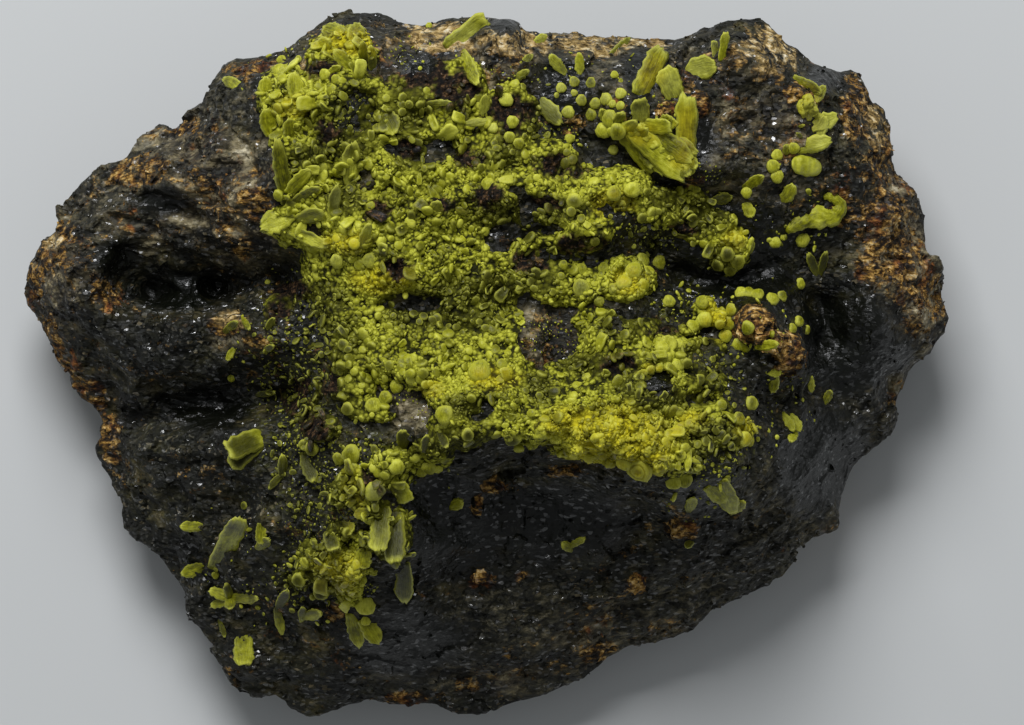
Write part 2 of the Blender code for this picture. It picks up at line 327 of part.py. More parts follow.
def rock_detail(x, y):
    """Furrows, knobs and the broken, grainy surface, added to the smooth heights."""
    height = 0.0
    for depth, half_width, run in FURROWS:
        height -= depth * math.exp(-((distance_to_run(x, y, run) / half_width) ** 2))
    for knob_x, knob_y, radius, rise in KNOBS:
        away = math.hypot(x - knob_x, y - knob_y) / radius
        height += rise * math.exp(-(away**4))
    lumps = noise.fractal(Vector((x, y, 0.0)) / LUMP_SIZE, 0.9, 2.0, 3)
    grain = noise.cell(Vector((x, y, 3.0)) / GRAIN_SIZE)
    return height + LUMP_HEIGHT * lumps + GRAIN_HEIGHT * (grain - 0.5)


def rock_heights(points):
    """The smooth surface through the sampled heights."""
    return spread(np.array(points), SAMPLES[:, :2]) @ WEIGHTS + MEAN_HEIGHT


def closed_run(corners, spacing, sway):
    """The outline with points added between its corners, swayed in and out a little."""
    points = []
    for start, end in zip(corners, corners[1:] + corners[:1]):
        start, end = Vector(start), Vector(end)
        pieces = max(1, round((end - start).length / spacing))
        side = Vector((end.y - start.y, start.x - end.x)).normalized()
        for i in range(pieces):
            place = start.lerp(end, i / pieces)
            if i:
                place -= side * sway * abs(noise.noise(Vector((place.x, place.y, 9.0)) * 1.7))
            points.append((place.x, place.y))
    return points


def inside(ring, points):
    """Which of the points lie inside the ring, by counting the edges each one's ray crosses."""
    ring = np.array(ring)
    after = np.roll(ring, -1, axis=0)
    x, y = points[:, 0:1], points[:, 1:2]
    spans = (ring[:, 1] > y) != (after[:, 1] > y)
    rise = np.where(after[:, 1] == ring[:, 1], 1.0, after[:, 1] - ring[:, 1])
    crossing = ring[:, 0] + (y - ring[:, 1]) / rise * (after[:, 0] - ring[:, 0])
    return (spans & (x < crossing)).sum(axis=1) % 2 == 1


def scattered(ring, spacing, seed):
    """Points in a loosened triangular pattern that fills the ring."""
    dice = random.Random(seed)
    reach_x = max(abs(x) for x, _ in ring)
    reach_y = max(abs(y) for _, y in ring)
    rows = int(2 * reach_y / (spacing * 0.866)) + 1
    columns = int(2 * reach_x / spacing) + 2
    points = []
    for row in range(rows):
        for column in range(columns):
            x = -reach_x + (column + 0.5 * (row % 2)) * spacing + dice.uniform(-0.24, 0.24) * spacing
            y = -reach_y + row * spacing * 0.866 + dice.uniform(-0.24, 0.24) * spacing
            points.append((x, y))
    points = np.array(points)
    points = points[inside(ring, points)]
    clearance = np.linalg.norm(points[:, None, :] - np.array(ring)[None, :, :], axis=2).min(axis=1)
    return [tuple(point) for point in points[clearance > 0.55 * spacing]]


def fill_plan(ring, extra):
    """Triangles that fill the ring and use the extra points, as (points, faces)."""
    points = [Vector(point) for point in list(ring) + list(extra)]
    count = len(ring)
    found = delaunay_2d_cdt(points, [], [list(range(count))], 1, 1e-5)
    return [(point.x, point.y) for point in found[0]], [tuple(face) for face in found[2]]


# ---------------------------------------------------------------- solids


def make_object(name, mesh, material):
    model = bpy.data.objects.new(name, mesh)
    bpy.context.collection.objects.link(model)
    if material:
        mesh.materials.append(material)
    return model


def finish_mesh(name, bm):
    bmesh.ops.recalc_face_normals(bm, faces=bm.faces)
    mesh = bpy.data.meshes.new(name)
    bm.to_mesh(mesh)
    bm.free()
    return mesh


def join_rings(bm, upper, lower):
    """A band of faces between two rings that have the same number of points."""
    for i in range(len(upper)):
        after = (i + 1) % len(upper)
        bm.faces.new([upper[i], upper[after], lower[after], lower[i]])


def flank_ring(ring, heights, reach, share):
    """One ring of the flanks: drawn in from the outline and down from its height."""
    points = []
    for (x, y), height in zip(ring, heights):
        swell = noise.noise(Vector((x, y, 20.0 * share)) / 3.2)
        scale = reach + FLANK_WANDER * swell * (1.0 - share) * 1.6
        drop = height * share
        if share:
            drop += 0.5 * noise.noise(Vector((x, y, 40.0 + 9.0 * share)) / 1.8) * share
        points.append((x * scale, y * scale, drop))
    return points


def make_rock(ring, plan, faces, heights, material):
    bm = bmesh.new()
    top = [bm.verts.new(Vector((x, y, z)) * MM) for (x, y), z in zip(plan, heights)]
    for face in faces:
        bm.faces.new([top[i] for i in face])
    upper = top[: len(ring)]
    for reach, share in FLANK_STEPS:
        points = flank_ring(ring, heights, reach, share)
        lower = [bm.verts.new(Vector(point) * MM) for point in points]
        join_rings(bm, upper, lower)
        upper = lower
    base = [(corner.co.x / MM, corner.co.y / MM) for corner in upper]
    _, base_faces = fill_plan(base, [])
    for face in base_faces:
        bm.faces.new([upper[i] for i in face])
    bmesh.ops.triangulate(bm, faces=bm.faces, quad_method="SHORT_EDGE")
    return make_object("rock", finish_mesh("rock", bm), material)


def make_trimmer(ring, plan, faces, heights):
    """The rock's top raised by the seat gap, as a deep block: it trims what grew on the rock."""
    bm = bmesh.new()
    top = [bm.verts.new(Vector((x, y, z + SEAT_GAP)) * MM) for (x, y), z in zip(plan, heights)]
    for face in faces:
        bm.faces.new([top[i] for i in face])
    upper = top[: len(ring)]
    lower = [bm.verts.new(Vector((corner.co.x, corner.co.y, -TRIMMER_DEPTH * MM))) for corner in upper]
    join_rings(bm, upper, lower)
    bmesh.ops.contextual_create(bm, geom=lower)
    trimmer = make_object("trimmer", finish_mesh("trimmer", bm), None)
    trimmer.hide_render = True
    trimmer.display_type = "WIRE"
    return trimmer


def coverage(x, y, patches):
    """Above 0 where the crust lies, 1 in the middle of a patch."""
    best = -1.0
    for centre_x, centre_y, half_x, half_y in patches:
        away = ((x - centre_x) / half_x) ** 2 + ((y - centre_y) / half_y) ** 2
        best = max(best, 1.0 - away)
    for centre_x, centre_y, half_x, half_y in CRUST_HOLES:
        away = ((x - centre_x) / half_x) ** 2 + ((y - centre_y) / half_y) ** 2
        best = min(best, 2.0 * (away - 1.0))
    return best + CRUST_RAGGEDNESS * noise.noise(Vector((x, y, 5.0)) / 0.9)


def one_sheet(faces):
    """The largest sheet of triangles joined edge to edge, with no point where two parts only touch."""
    faces = set(faces)
    while True:
        around = {}
        for face in faces:
            for corner in face:
                around.setdefault(corner, []).append(face)
        loose = set()
        for corner, fan in around.items():
            group = joined_faces(fan, fan[0], corner)
            if len(group) < len(fan):
                rest = [face for face in fan if face not in group]
                loose.update(min(sorted(group), rest, key=len))
        if not loose:
            break
        faces -= loose
    best = []
    left = set(faces)
    edges = {}
    for face in faces:
        for i in range(3):
            edges.setdefault(frozenset((face[i], face[i - 1])), []).append(face)
    while left:
        group = [left.pop()]
        for face in group:
            for i in range(3):
                for other in edges[frozenset((face[i], face[i - 1]))]:
                    if other in left:
                        left.remove(other)
                        group.append(other)
        best = max(best, group, key=len)
    return sorted(best)


def joined_faces(fan, first, corner):
    """Those faces round a corner that reach the first one across shared edges."""
    group = [first]
    for face in group:
        for other in fan:
            if other not in group and len(set(face) & set(other)) == 2:
                group.append(other)
    return group


def add_crust(bm, name, ring, rock_top):
    """The crust as a lumpy sheet that starts inside the rock, with its top as (points, faces)."""
    patches = CRUST_PATCHES[name]
    plan, faces = fill_plan(ring, scattered(ring, CRUST_SPACING, SEED + len(patches)))
    cover = [coverage(x, y, patches) for x, y in plan]
    kept = one_sheet([face for face in faces if min(cover[i] for i in face) > 0.0])
    used = sorted({corner for face in kept for corner in face})
    dice = random.Random(SEED)
    top, bottom = {}, {}
    for i in used:
        x, y = plan[i]
        base = height_on(rock_top, x, y)
        swell = CRUST_SWELL * math.sqrt(min(1.0, cover[i]))
        grain = CRUST_GRAIN * (dice.random() - 0.4)
        top[i] = bm.verts.new(Vector((x, y, base + CRUST_THICKNESS + swell + grain)) * MM)
        bottom[i] = bm.verts.new(Vector((x, y, base - ROOT_DEPTH)) * MM)
    uses = {}
    for face in kept:
        bm.faces.new([top[i] for i in face])
        bm.faces.new([bottom[i] for i in reversed(face)])
        for i in range(3):
            uses.setdefault(frozenset((face[i], face[i - 1])), []).append((face[i - 1], face[i]))
    for sides in uses.values():
        if len(sides) == 1:
            start, end = sides[0]
            bm.faces.new([top[end], top[start], bottom[start], bottom[end]])
    order = {corner: i for i, corner in enumerate(used)}
    points = [top[i].co.copy() for i in used]
    return BVHTree.FromPolygons(points, [[order[i] for i in face] for face in kept])


def height_on(tree, x, y):
    """Height of a surface above a place, or None past its edge."""
    hit = tree.ray_cast(Vector((x * MM, y * MM, 0.05)), Vector((0.0, 0.0, -1.0)))
    return None if hit[0] is None else hit[0].z / MM


def surface_height(trees, x, y):
    for tree in trees:
        height = height_on(tree, x, y)
        if height is not None:
            return height
    return 0.0


def add_rings(bm, rings):
    """A closed solid through rings of points, capped at both ends."""
    rings = [[bm.verts.new(point * MM) for point in ring] for ring in rings]
    for lower, upper in zip(rings, rings[1:]):
        join_rings(bm, lower, upper)
    bm.faces.new(rings[0][::-1])
    bm.faces.new(rings[-1])


def add_tablet(bm, trees, tablet):
    """A flat crystal that leans out from its root, its long edges tapering to the tip."""
    root_x, root_y, tip_x, tip_y, width, roll, rise, thickness = tablet
    root = Vector((root_x, root_y, surface_height(trees, root_x, root_y) - 0.5 * thickness))
    tip = Vector((tip_x, tip_y, 0.0))
    for share in (0.4, 0.7, 1.0):
        place = root.lerp(tip, share)
        wanted = surface_height(trees, place.x, place.y) + rise * share
        tip.z = max(tip.z, root.z + (wanted - root.z) / share)
    along = (tip - root).normalized()
    across = along.cross(Vector((0.0, 0.0, 1.0))).normalized()
    across = Matrix.Rotation(math.radians(roll), 3, along) @ across
    facing = across.cross(along)
    right = [root.lerp(tip, s) + across * width * w for s, w in TABLET_OUTLINE]
    left = [root.lerp(tip, s) - across * width * w for s, w in reversed(TABLET_OUTLINE)]
    half = facing * thickness * 0.5
    add_rings(bm, [[p - half for p in right + left], [p + half for p in right + left]])


def add_button(bm, trees, button):
    """A round crystal seen face on: a short column with a bevelled top."""
    x, y, radius = button
    foot = Vector((x, y, surface_height(trees, x, y)))
    east = surface_height(trees, x + radius, y) - surface_height(trees, x - radius, y)
    north = surface_height(trees, x, y + radius) - surface_height(trees, x, y - radius)
    lean = Vector((-east, -north, 5.0 * radius)).normalized()
    turn = Vector((0.0, 0.0, 1.0)).rotation_difference(lean).to_matrix()
    rings = []
    for out, up in SMALL_PROFILE if radius < SMALL_BUTTON else BUTTON_PROFILE:
        ring = []
        for i in range(BUTTON_SIDES):
            angle = math.tau * (i + x) / BUTTON_SIDES
            ring.append(foot + turn @ Vector((math.cos(angle) * out, math.sin(angle) * out, up)) * radius)
        rings.append(ring)
    add_rings(bm, rings)


def largest_body(mesh):
    """Drops crumbs that the trimming cut loose."""
    bm = bmesh.new()
    bm.from_mesh(mesh)
    left = set(bm.faces)
    best = []
    while left:
        group = [left.pop()]
        for face in group:
            for edge in face.edges:
                others = edge.link_faces if len(edge.link_faces) == 2 else []
                for other in others:
                    if other in left:
                        left.remove(other)
                        group.append(other)
        best = max(best, group, key=len)
    kept = set(best)
    bmesh.ops.delete(bm, geom=[face for face in bm.faces if face not in kept], context="FACES")
    bm.to_mesh(mesh)
    bm.free()


def make_growth(name, ring, rock_top, trimmer, material):
    """One group of crystals that grew together, with its crust if it has one, trimmed to the rock."""
    bm = bmesh.new()
    trees = [rock_top]
    if name in CRUST_PATCHES:
        trees.insert(0, add_crust(bm, name, ring, rock_top))
    for tablet in TABLETS.get(name, []):
        add_tablet(bm, trees, tablet)
    for button in BUTTONS.get(name, []):
        add_button(bm, trees, button)
    model = make_object(name, finish_mesh(name, bm), material)
    trim = model.modifiers.new("trim", "BOOLEAN")
    trim.operation = "DIFFERENCE"
    trim.solver = "EXACT"
    trim.use_self = True
    trim.object = trimmer
    graph = bpy.context.evaluated_depsgraph_get()
    trimmed = bpy.data.meshes.new_from_object(model.evaluated_get(graph))
    model.modifiers.remove(trim)
    largest_body(trimmed)
    model.data = trimmed
    return model


def main():
    clear_scene()
    ring = closed_run(OUTLINE, EDGE_SPACING, 0.16)
    plan, faces = fill_plan(ring, scattered(ring, TOP_SPACING, SEED))
    smooth = rock_heights(plan)
    heights = [z + rock_detail(x, y) for (x, y), z in zip(plan, smooth)]
    make_rock(ring, plan, faces, heights, make_material("pitchblende ore, broken", ROCK_COLOUR, 0.6))
    trimmer = make_trimmer(ring, plan, faces, heights)
    rock_top = BVHTree.FromPolygons([Vector((x, y, z)) * MM for (x, y), z in zip(plan, heights)], faces)
    crust = make_material("cejkaite crust", CRUST_COLOUR, 0.7)
    crystal = make_material("cejkaite crystals", CRYSTAL_COLOUR, 0.45)
    for name in CRUST_PATCHES:
        make_growth(name, ring, rock_top, trimmer, crust)
    for name in sorted((set(TABLETS) | set(BUTTONS)) - set(CRUST_PATCHES)):
        make_growth(name, ring, rock_top, trimmer, crystal)
    bpy.data.objects.remove(trimmer, do_unlink=True)


main()
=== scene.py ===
# %% [markdown]
# # A cejkaite specimen
# Cejkaite is a yellow-green uranium mineral that grows as crusts, tabs and round buttons of crystals
# on old mine rock. This lesson dresses a plain solid model of such a specimen: a broken, blue-black
# lump of pitchblende ore, rusty along its edges, with the crystals crowded over its top. The solids
# come in first and stay where they are. Every piece made below stands for one or more of them.

# %% Load the solids
import math

import bmesh
import bpy
import numpy as np
from mathutils import Matrix, Vector, noise
from mathutils.bvhtree import BVHTree


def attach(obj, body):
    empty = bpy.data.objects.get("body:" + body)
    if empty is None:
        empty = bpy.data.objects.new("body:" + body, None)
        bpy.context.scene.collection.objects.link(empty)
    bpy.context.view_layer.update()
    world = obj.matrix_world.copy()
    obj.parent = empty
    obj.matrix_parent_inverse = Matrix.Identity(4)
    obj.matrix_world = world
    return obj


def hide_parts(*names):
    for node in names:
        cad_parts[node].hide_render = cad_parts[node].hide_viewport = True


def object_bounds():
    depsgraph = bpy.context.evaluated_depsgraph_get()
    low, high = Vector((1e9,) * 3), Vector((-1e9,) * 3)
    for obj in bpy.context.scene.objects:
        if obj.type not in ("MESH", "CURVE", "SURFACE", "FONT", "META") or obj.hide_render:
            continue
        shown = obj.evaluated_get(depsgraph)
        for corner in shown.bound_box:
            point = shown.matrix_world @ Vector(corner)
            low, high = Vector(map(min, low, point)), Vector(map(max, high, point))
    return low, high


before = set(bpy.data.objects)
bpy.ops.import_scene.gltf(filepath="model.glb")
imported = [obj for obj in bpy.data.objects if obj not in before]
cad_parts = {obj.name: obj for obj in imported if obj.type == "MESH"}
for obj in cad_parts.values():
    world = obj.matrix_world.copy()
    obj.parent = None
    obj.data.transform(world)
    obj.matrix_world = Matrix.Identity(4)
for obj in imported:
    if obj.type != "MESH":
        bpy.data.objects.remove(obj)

MM = 0.001
SEED = 7
CAD_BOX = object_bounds()
noise.seed_set(SEED)    # the noise of vectors would follow the clock otherwise
cad_size = [round(c / MM, 1) for c in CAD_BOX[1] - CAD_BOX[0]]
print("solids:", len(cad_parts), "nodes, box in mm", cad_size)

# %% [markdown]
# ## Camera, floor and light
# The specimen lies on its flat break, and the camera looks straight down on it from far off through
# a long lens, as for a picture of a small mineral. Long lenses draw a small thing without stretching
# its near parts. The light is one large soft window high at the top of the picture, slightly left,
# with a weak fill from all round, so hollows that face away from the window go dark.

# %% Camera
SENSOR = 36.0
LENS = 400.0
VIEW_WIDTH = 39.72      # mm across the picture, at the height of the specimen's edge
VIEW_PLANE = 5.0        # that height, in mm
VIEW_CENTRE = (1.09, 0.10)

camera_data = bpy.data.cameras.new("camera")
camera_data.sensor_width = SENSOR
camera_data.lens = LENS
camera_data.clip_start = 0.005
camera_data.clip_end = 10.0
camera = bpy.data.objects.new("camera", camera_data)
bpy.context.scene.collection.objects.link(camera)
camera.location = Vector((*VIEW_CENTRE, VIEW_PLANE + VIEW_WIDTH * LENS / SENSOR)) * MM
bpy.context.scene.camera = camera
print("camera at", round(camera.location.z / MM), "mm above the table")

# %% Colours and one helper for nodes
def srgb(code, alpha=1.0):
    """A hex colour as it looks on a screen, turned to the linear values that shaders mix."""
    shares = [int(code[i : i + 2], 16) / 255 for i in (1, 3, 5)]
    linear = [s / 12.92 if s <= 0.04045 else ((s + 0.055) / 1.055) ** 2.4 for s in shares]
    return (*linear, alpha)


def feed(tree, value, socket):
    """Gives a socket its value: a constant, a link from a socket, or from a node's first live output."""
    if isinstance(value, bpy.types.Node):
        value = next(output for output in value.outputs if output.enabled)
    if isinstance(value, bpy.types.NodeSocket):
        tree.links.new(value, socket)
    else:
        socket.default_value = value


def add(tree, kind, inputs=None, stops=(), **settings):
    """Adds a node. Inputs feed its live sockets by name or number, settings are its own properties,
    and stops are the places and hex colours along a ramp."""
    node = tree.nodes.new(kind)
    for name, value in settings.items():
        setattr(node, name, value)
    for key, value in (inputs or {}).items():
        live = [socket for socket in node.inputs if socket.enabled]
        feed(tree, value, live[key] if isinstance(key, int) else next(s for s in live if s.name == key))
    for number, (position, code) in enumerate(stops):
        elements = node.color_ramp.elements
        element = elements[number] if number < len(elements) else elements.new(position)
        element.position = position
        element.color = srgb(code)
    return node


def new_material(name, **shader_inputs):
    """A Principled material, with its tree and shader. Inputs are constants on the shader's sockets."""
    material = bpy.data.materials.new(name)
    material.use_nodes = True
    shader = material.node_tree.nodes["Principled BSDF"]
    for key, value in shader_inputs.items():
        shader.inputs[key.replace("_", " ")].default_value = value
    return material, material.node_tree, shader


def place(name, mesh):
    """Links a mesh as an object at the origin: its place is in its points."""
    model = bpy.data.objects.new(name, mesh)
    bpy.context.scene.collection.objects.link(model)
    return model


# %% Floor and lights
FLOOR_HALF = 400.0      # mm
FLOOR_COLOUR = "#d3d5d4"
WINDOW_PLACE = (-30.0, 150.0, 165.0)
WINDOW_SIZE = 110.0
WINDOW_WATTS = 0.46
FILL_STRENGTH = 0.23

floor_mesh = bpy.data.meshes.new("floor")
corners = [(-1, -1, 0), (1, -1, 0), (1, 1, 0), (-1, 1, 0)]
floor_mesh.from_pydata([Vector(c) * FLOOR_HALF * MM for c in corners], [], [(0, 1, 2, 3)])
floor = place("floor", floor_mesh)
card, _, _ = new_material("matt pale card", Base_Color=srgb(FLOOR_COLOUR), Roughness=0.9)
floor_mesh.materials.append(card)

window_data = bpy.data.lights.new("window", "AREA")
window_data.size = WINDOW_SIZE * MM
window_data.energy = WINDOW_WATTS
window_data.color = srgb("#fbfcff")[:3]
window = bpy.data.objects.new("window", window_data)
bpy.context.scene.collection.objects.link(window)
window.location = Vector(WINDOW_PLACE) * MM
window.rotation_euler = (-window.location).to_track_quat("-Z", "Y").to_euler()

world = bpy.data.worlds.new("soft room")
world.use_nodes = True
room = world.node_tree.nodes["Background"]
room.inputs["Color"].default_value = srgb("#eef2f6")
room.inputs["Strength"].default_value = FILL_STRENGTH
bpy.context.scene.world = world
bpy.context.scene.view_settings.view_transform = "Standard"
print("floor and", window.name, "ready")

# %% [markdown]
# ## Noise and patches
# Rock breaks unevenly at every size. Two kinds of noise give that: smooth noise for lumps, and small
# tilted planes, one to each Voronoi cell, for the flat facets and steps of a brittle break. Each use
# has a layer number of its own, so that no two noises fall together. Where a colour or a finish lies
# on the specimen is given as patches: oval areas in millimetres.

# %% Noise and patch fields
def lumps(points, size, layer=0.0, octaves=3):
    """Smooth noise of about -1 to 1 for each point, in lumps of that size in mm."""
    shift = Vector((0.0, 0.0, layer))
    return np.array([noise.fractal(Vector(p) / size + shift, 0.9, 2.0, octaves) for p in points])


def facets(points, size, layer=0.0):
    """Broken faces: in each cell of that size the height follows a plane that is tilted at random."""
    shift = Vector((0.0, 0.0, layer))
    heights = []
    for point in points:
        point = Vector(point) / size + shift
        centre = noise.voronoi(point)[1][0]
        tilt = noise.cell_vector(centre * 9.7) * 2.0 - Vector((1.0, 1.0, 1.0))
        heights.append(tilt.dot(point - centre) + 0.35 * tilt.x)
    return np.array(heights)


def cover(points, patches):
    """1 in the middle of the nearest patch, 0 on its edge. A patch is x, y, half length, half width."""
    best = np.full(len(points), -4.0)
    for x, y, half_x, half_y in patches:
        away = ((points[:, 0] - x) / half_x) ** 2 + ((points[:, 1] - y) / half_y) ** 2
        best = np.maximum(best, 1.0 - away)
    return best


def ramp(values, low, high):
    """0 below low, 1 above high, and a smooth slope between."""
    share = np.clip((values - low) / (high - low), 0.0, 1.0)
    return share * share * (3.0 - 2.0 * share)


# %% Where each finish lies on the rock, in mm: x, y, half length, half width
RUST_PATCHES = [        # limonite
    (-16.9, 4.4, 0.8, 1.1), (-16.3, 5.1, 0.9, 0.5), (-17.4, 3.2, 0.5, 0.8), (-14.6, 2.9, 0.7, 0.8),
    (-16.9, 1.5, 0.4, 0.6), (-16.2, 0, 0.6, 0.9), (-15.3, -1.3, 0.7, 0.9), (-14.6, -2.6, 0.6, 0.8),
    (-13.2, 7.4, 1.3, 0.9), (-11.5, 9.2, 0.8, 0.4), (-8.8, 6.2, 0.8, 0.9), (-9.2, 4.4, 0.6, 0.4),
    (-8.9, 11.4, 1.2, 0.5), (-6, 11.1, 1.3, 0.8), (-1.7, 12.5, 1.6, 0.9), (1.4, 12.4, 1.6, 0.8),
    (4.1, 12.5, 1.5, 0.7), (6.3, 12.4, 1.2, 0.5), (11.1, 12.1, 1.3, 1.3), (9.8, 11.8, 0.8, 0.5),
    (12.3, 10.5, 0.8, 0.7), (14.6, 9.9, 0.9, 1.6), (15.4, 8, 1, 1.6), (15.4, 5.8, 1.3, 1.3),
    (15.8, 3.9, 1.7, 1.7), (17.1, 2.9, 0.8, 1.2), (16.4, 1.4, 0.9, 0.5), (13.8, 6.2, 0.6, 0.9),
    (8, 7.3, 0.5, 1), (7.3, 10.7, 0.9, 0.4), (3.7, 10.4, 0.5, 0.7), (3.2, 9.4, 0.8, 0.6),
    (0.4, -4.7, 0.5, 0.3), (1.1, -4.8, 0.4, 0.3), (-0.1, -8.3, 0.7, 0.3), (1.4, -8.1, 0.5, 0.3),
    (5.9, -8.5, 0.4, 0.4), (7.8, -6.4, 0.5, 0.5), (-0.7, -12.5, 0.5, 0.3), (4.5, -11.2, 0.9, 0.5),
    (-9.9, 1.6, 1, 0.5), (-8.6, 0.9, 0.8, 0.4), (-5.8, -9.6, 0.5, 0.4), (3, -4.1, 0.8, 0.3),
    (-2.9, -13, 1.2, 0.3), (-16.6, 0.6, 0.4, 0.8), (-15.8, -0.9, 0.5, 0.8), (-15, -2, 0.4, 0.6),
    (-14.5, -3.4, 0.4, 0.6), (8.3, -5.2, 0.3, 0.3),
]
RUST_KNOBS = [          # crumbly lumps of limonite that stand up from the ore
    (10.4, 1.5, 0.85, 0.8), (11.1, 0.9, 0.8, 0.45), (11.75, 0.35, 0.7, 0.95), (0.35, -4.65, 0.5, 0.33),
    (-0.25, -5.45, 0.25, 0.4), (-0.1, -8.15, 0.4, 0.25), (5.9, -8.5, 0.4, 0.4), (7.4, -6.35, 0.45, 0.45),
    (6.95, 9.75, 0.45, 0.35), (8.35, 10.0, 0.4, 0.5),
]
HAZE_PATCHES = [        # weathered brown between the grains
    (-12.5, 7.5, 3.5, 2.8), (-9.5, 6.3, 2.2, 2.6), (-9.2, 1.2, 1.4, 0.7), (13.5, -4.5, 1.6, 2.5),
    (6, -10.5, 4, 1.2), (0, -12.2, 3.5, 0.7), (10.6, 8.6, 2.2, 2.2), (-16.5, 3.5, 1.4, 2.5),
    (16.4, 4, 1.6, 6), (2, 11.5, 9, 1.4), (2.5, 0.9, 1.3, 1.4), (-2.9, -1.5, 1, 0.9),
]
GLOSS_PATCHES = [       # smooth, shiny breaks
    (9.6, 4.3, 2.3, 2.3), (10.7, 2.9, 1.6, 1.2), (14, 0.8, 2.3, 2.3), (13.1, -3.7, 1.9, 2.3),
    (15.6, 0.4, 1.2, 1), (6.7, -0.6, 0.5, 0.4), (1.8, 2.9, 0.8, 0.5), (3.9, 3.5, 0.9, 0.4),
    (3, 10.7, 1.2, 1.2), (6.1, 11.1, 0.8, 1.2), (8, 8.7, 1, 1.2), (-2.5, 11.1, 0.8, 1),
    (0.8, 13.1, 0.6, 0.4), (-1.3, -6, 2.3, 2.3), (3, -6, 2.7, 1.6), (-2.9, -10.7, 2.3, 1.6),
    (8.4, -4.5, 1.2, 1.2), (-11.8, 2.9, 1.9, 0.9), (-10.6, -1.7, 1.7, 0.9), (-12.5, 6.4, 1, 0.6),
    (-14.1, 4.1, 0.8, 0.8), (13.1, 11.1, 0.8, 0.6),
]
BLEACHED_PATCHES = [    # limonite that is nearly white
    (-1.7, 12.8, 2, 0.8), (1.8, 12.6, 2.2, 0.7), (4.8, 12.5, 2, 0.6), (7, 12.1, 1, 0.6),
    (11.2, 12.2, 1.4, 0.9), (-16.7, 4.8, 0.4, 0.3), (15.2, 9.4, 0.4, 0.8), (3.4, 10.6, 0.7, 0.6),
    (-6, 11.3, 1, 0.5), (-9.6, 1.8, 0.7, 0.3),
]
DUST_PATCHES = [        # pale, dull powder
    (-3.4, 13, 1.2, 0.5), (0.9, 13.2, 0.8, 0.4), (6.2, 12.2, 1.4, 0.4), (8.6, 12.2, 0.9, 0.6),
    (12.9, 11.6, 0.8, 0.5), (11.9, -5.2, 2.3, 1.9), (10, -7.6, 2.3, 1.4), (7.6, -9.1, 1.9, 1.2),
    (13.8, -2.5, 1.6, 1.9), (3, -12.6, 1.6, 0.6), (5.7, -10.7, 1.9, 0.8), (-13.7, 7.2, 1.9, 1.6),
    (-15.3, 5.2, 0.9, 0.8), (-9.8, 9.9, 1.2, 0.9), (15.4, 9.5, 0.8, 0.6), (-2.1, -12.6, 1.6, 0.5),
    (0.6, -9.9, 3.1, 1.6), (3.5, 11.3, 2.2, 0.7), (10, 8.1, 1.1, 0.9), (14.5, 8, 0.7, 1),
]
FILM_PATCHES = [        # a thin green growth, with small grains
    (-7.2, 0.2, 1.7, 3.4), (-6.6, -3.2, 1.9, 1.6), (-6.4, -5.6, 1.5, 1.8), (-6.6, -8, 1.7, 1.4),
    (8.6, -3.2, 1.8, 1.5), (8.8, -0.4, 1.4, 1.2), (7.6, 2.2, 1.2, 0.9), (6.5, 5.2, 1.6, 0.8),
    (-4.4, -3.6, 1.2, 1), (2.6, 8.6, 1.3, 0.7), (-4.9, 9.5, 1.1, 1.2),
]

# %% [markdown]
# ## The rock
# Pitchblende is a heavy, brittle oxide: a lump of it is bounded by rough breaks, furrows where veins
# have weathered out, and edges stained by limonite, a rusty iron mineral. The solid has the lump's
# form in facets a millimetre wide. A voxel remesh turns it, one closed natural body, into an even mesh
# fine enough to carve, and a light smoothing takes the facets' edges off. Then noise moves each point
# along its normal, less on steep sides, so that the outline stays the solid's, and lumps of limonite
# rise. Decimate comes last: it keeps points where the surface turns.

# %% Rock: sizes
VOXEL = 0.105           # mm
SOFTENING = 14          # rounds of smoothing
SWELL = 0.16            # mm of relief from broad swells, then from ever smaller breaks
BREAK = 0.17
STEP = 0.08
GRIT = 0.03
BED = 0.15              # from the beds on the rock's west end
KNOB_RISE = 0.3         # how far limonite lumps stand up, in mm
FURROW_SHARE = 0.7      # how much of a furrow's depth is cut
FURROW_WANDER = 0.25    # mm that its edges wander
ROCK_TRIANGLES = 192000
FURROWS = [             # narrow cracks: depth, half width, then the points that they run through
    (0.7, 0.3, [(-13.6, 2.7), (-11.8, 2.9), (-10.0, 3.0), (-7.9, 3.1)]),
    (0.6, 0.3, [(-12.4, -1.4), (-10.4, -1.5), (-8.9, -1.4), (-7.3, -1.3)]),
    (0.45, 0.25, [(6.5, 4.0), (8.0, 3.3), (9.8, 3.1), (11.3, 3.8)]),
    (0.45, 0.25, [(12.7, 2.5), (13.1, 0.8), (12.6, -1.0), (11.1, -1.4)]),
    (0.4, 0.2, [(3.7, 8.9), (5.0, 8.3), (5.9, 7.8)]),
    (0.4, 0.2, [(6.7, 7.1), (8.0, 6.8), (9.6, 6.4)]),
    (0.5, 0.25, [(-13.5, 6.6), (-12.0, 6.2), (-10.6, 5.6)]),
    (0.5, 0.2, [(-15.0, -1.6), (-13.4, -2.0), (-12.2, -2.2)]),
    (0.4, 0.25, [(10.6, -8.2), (8.0, -8.9), (5.2, -9.4)]),
    (0.4, 0.18, [(-16.0, 4.4), (-14.6, 4.6), (-13.0, 4.2), (-11.4, 4.3)]),
    (0.35, 0.18, [(-14.6, 5.8), (-13.2, 5.4), (-11.6, 5.0)]),
    (0.35, 0.18, [(-13.2, -3.6), (-11.6, -3.9), (-10.2, -3.7)]),
    (0.35, 0.18, [(13.9, 9.2), (13.4, 7.6), (13.2, 6.4)]),
    (0.35, 0.18, [(-2.6, -11.9), (0.4, -12.2), (3.0, -11.6)]),
]
BASE_LIFT = 0.35        # how deep the flat break's own hollows go, in mm


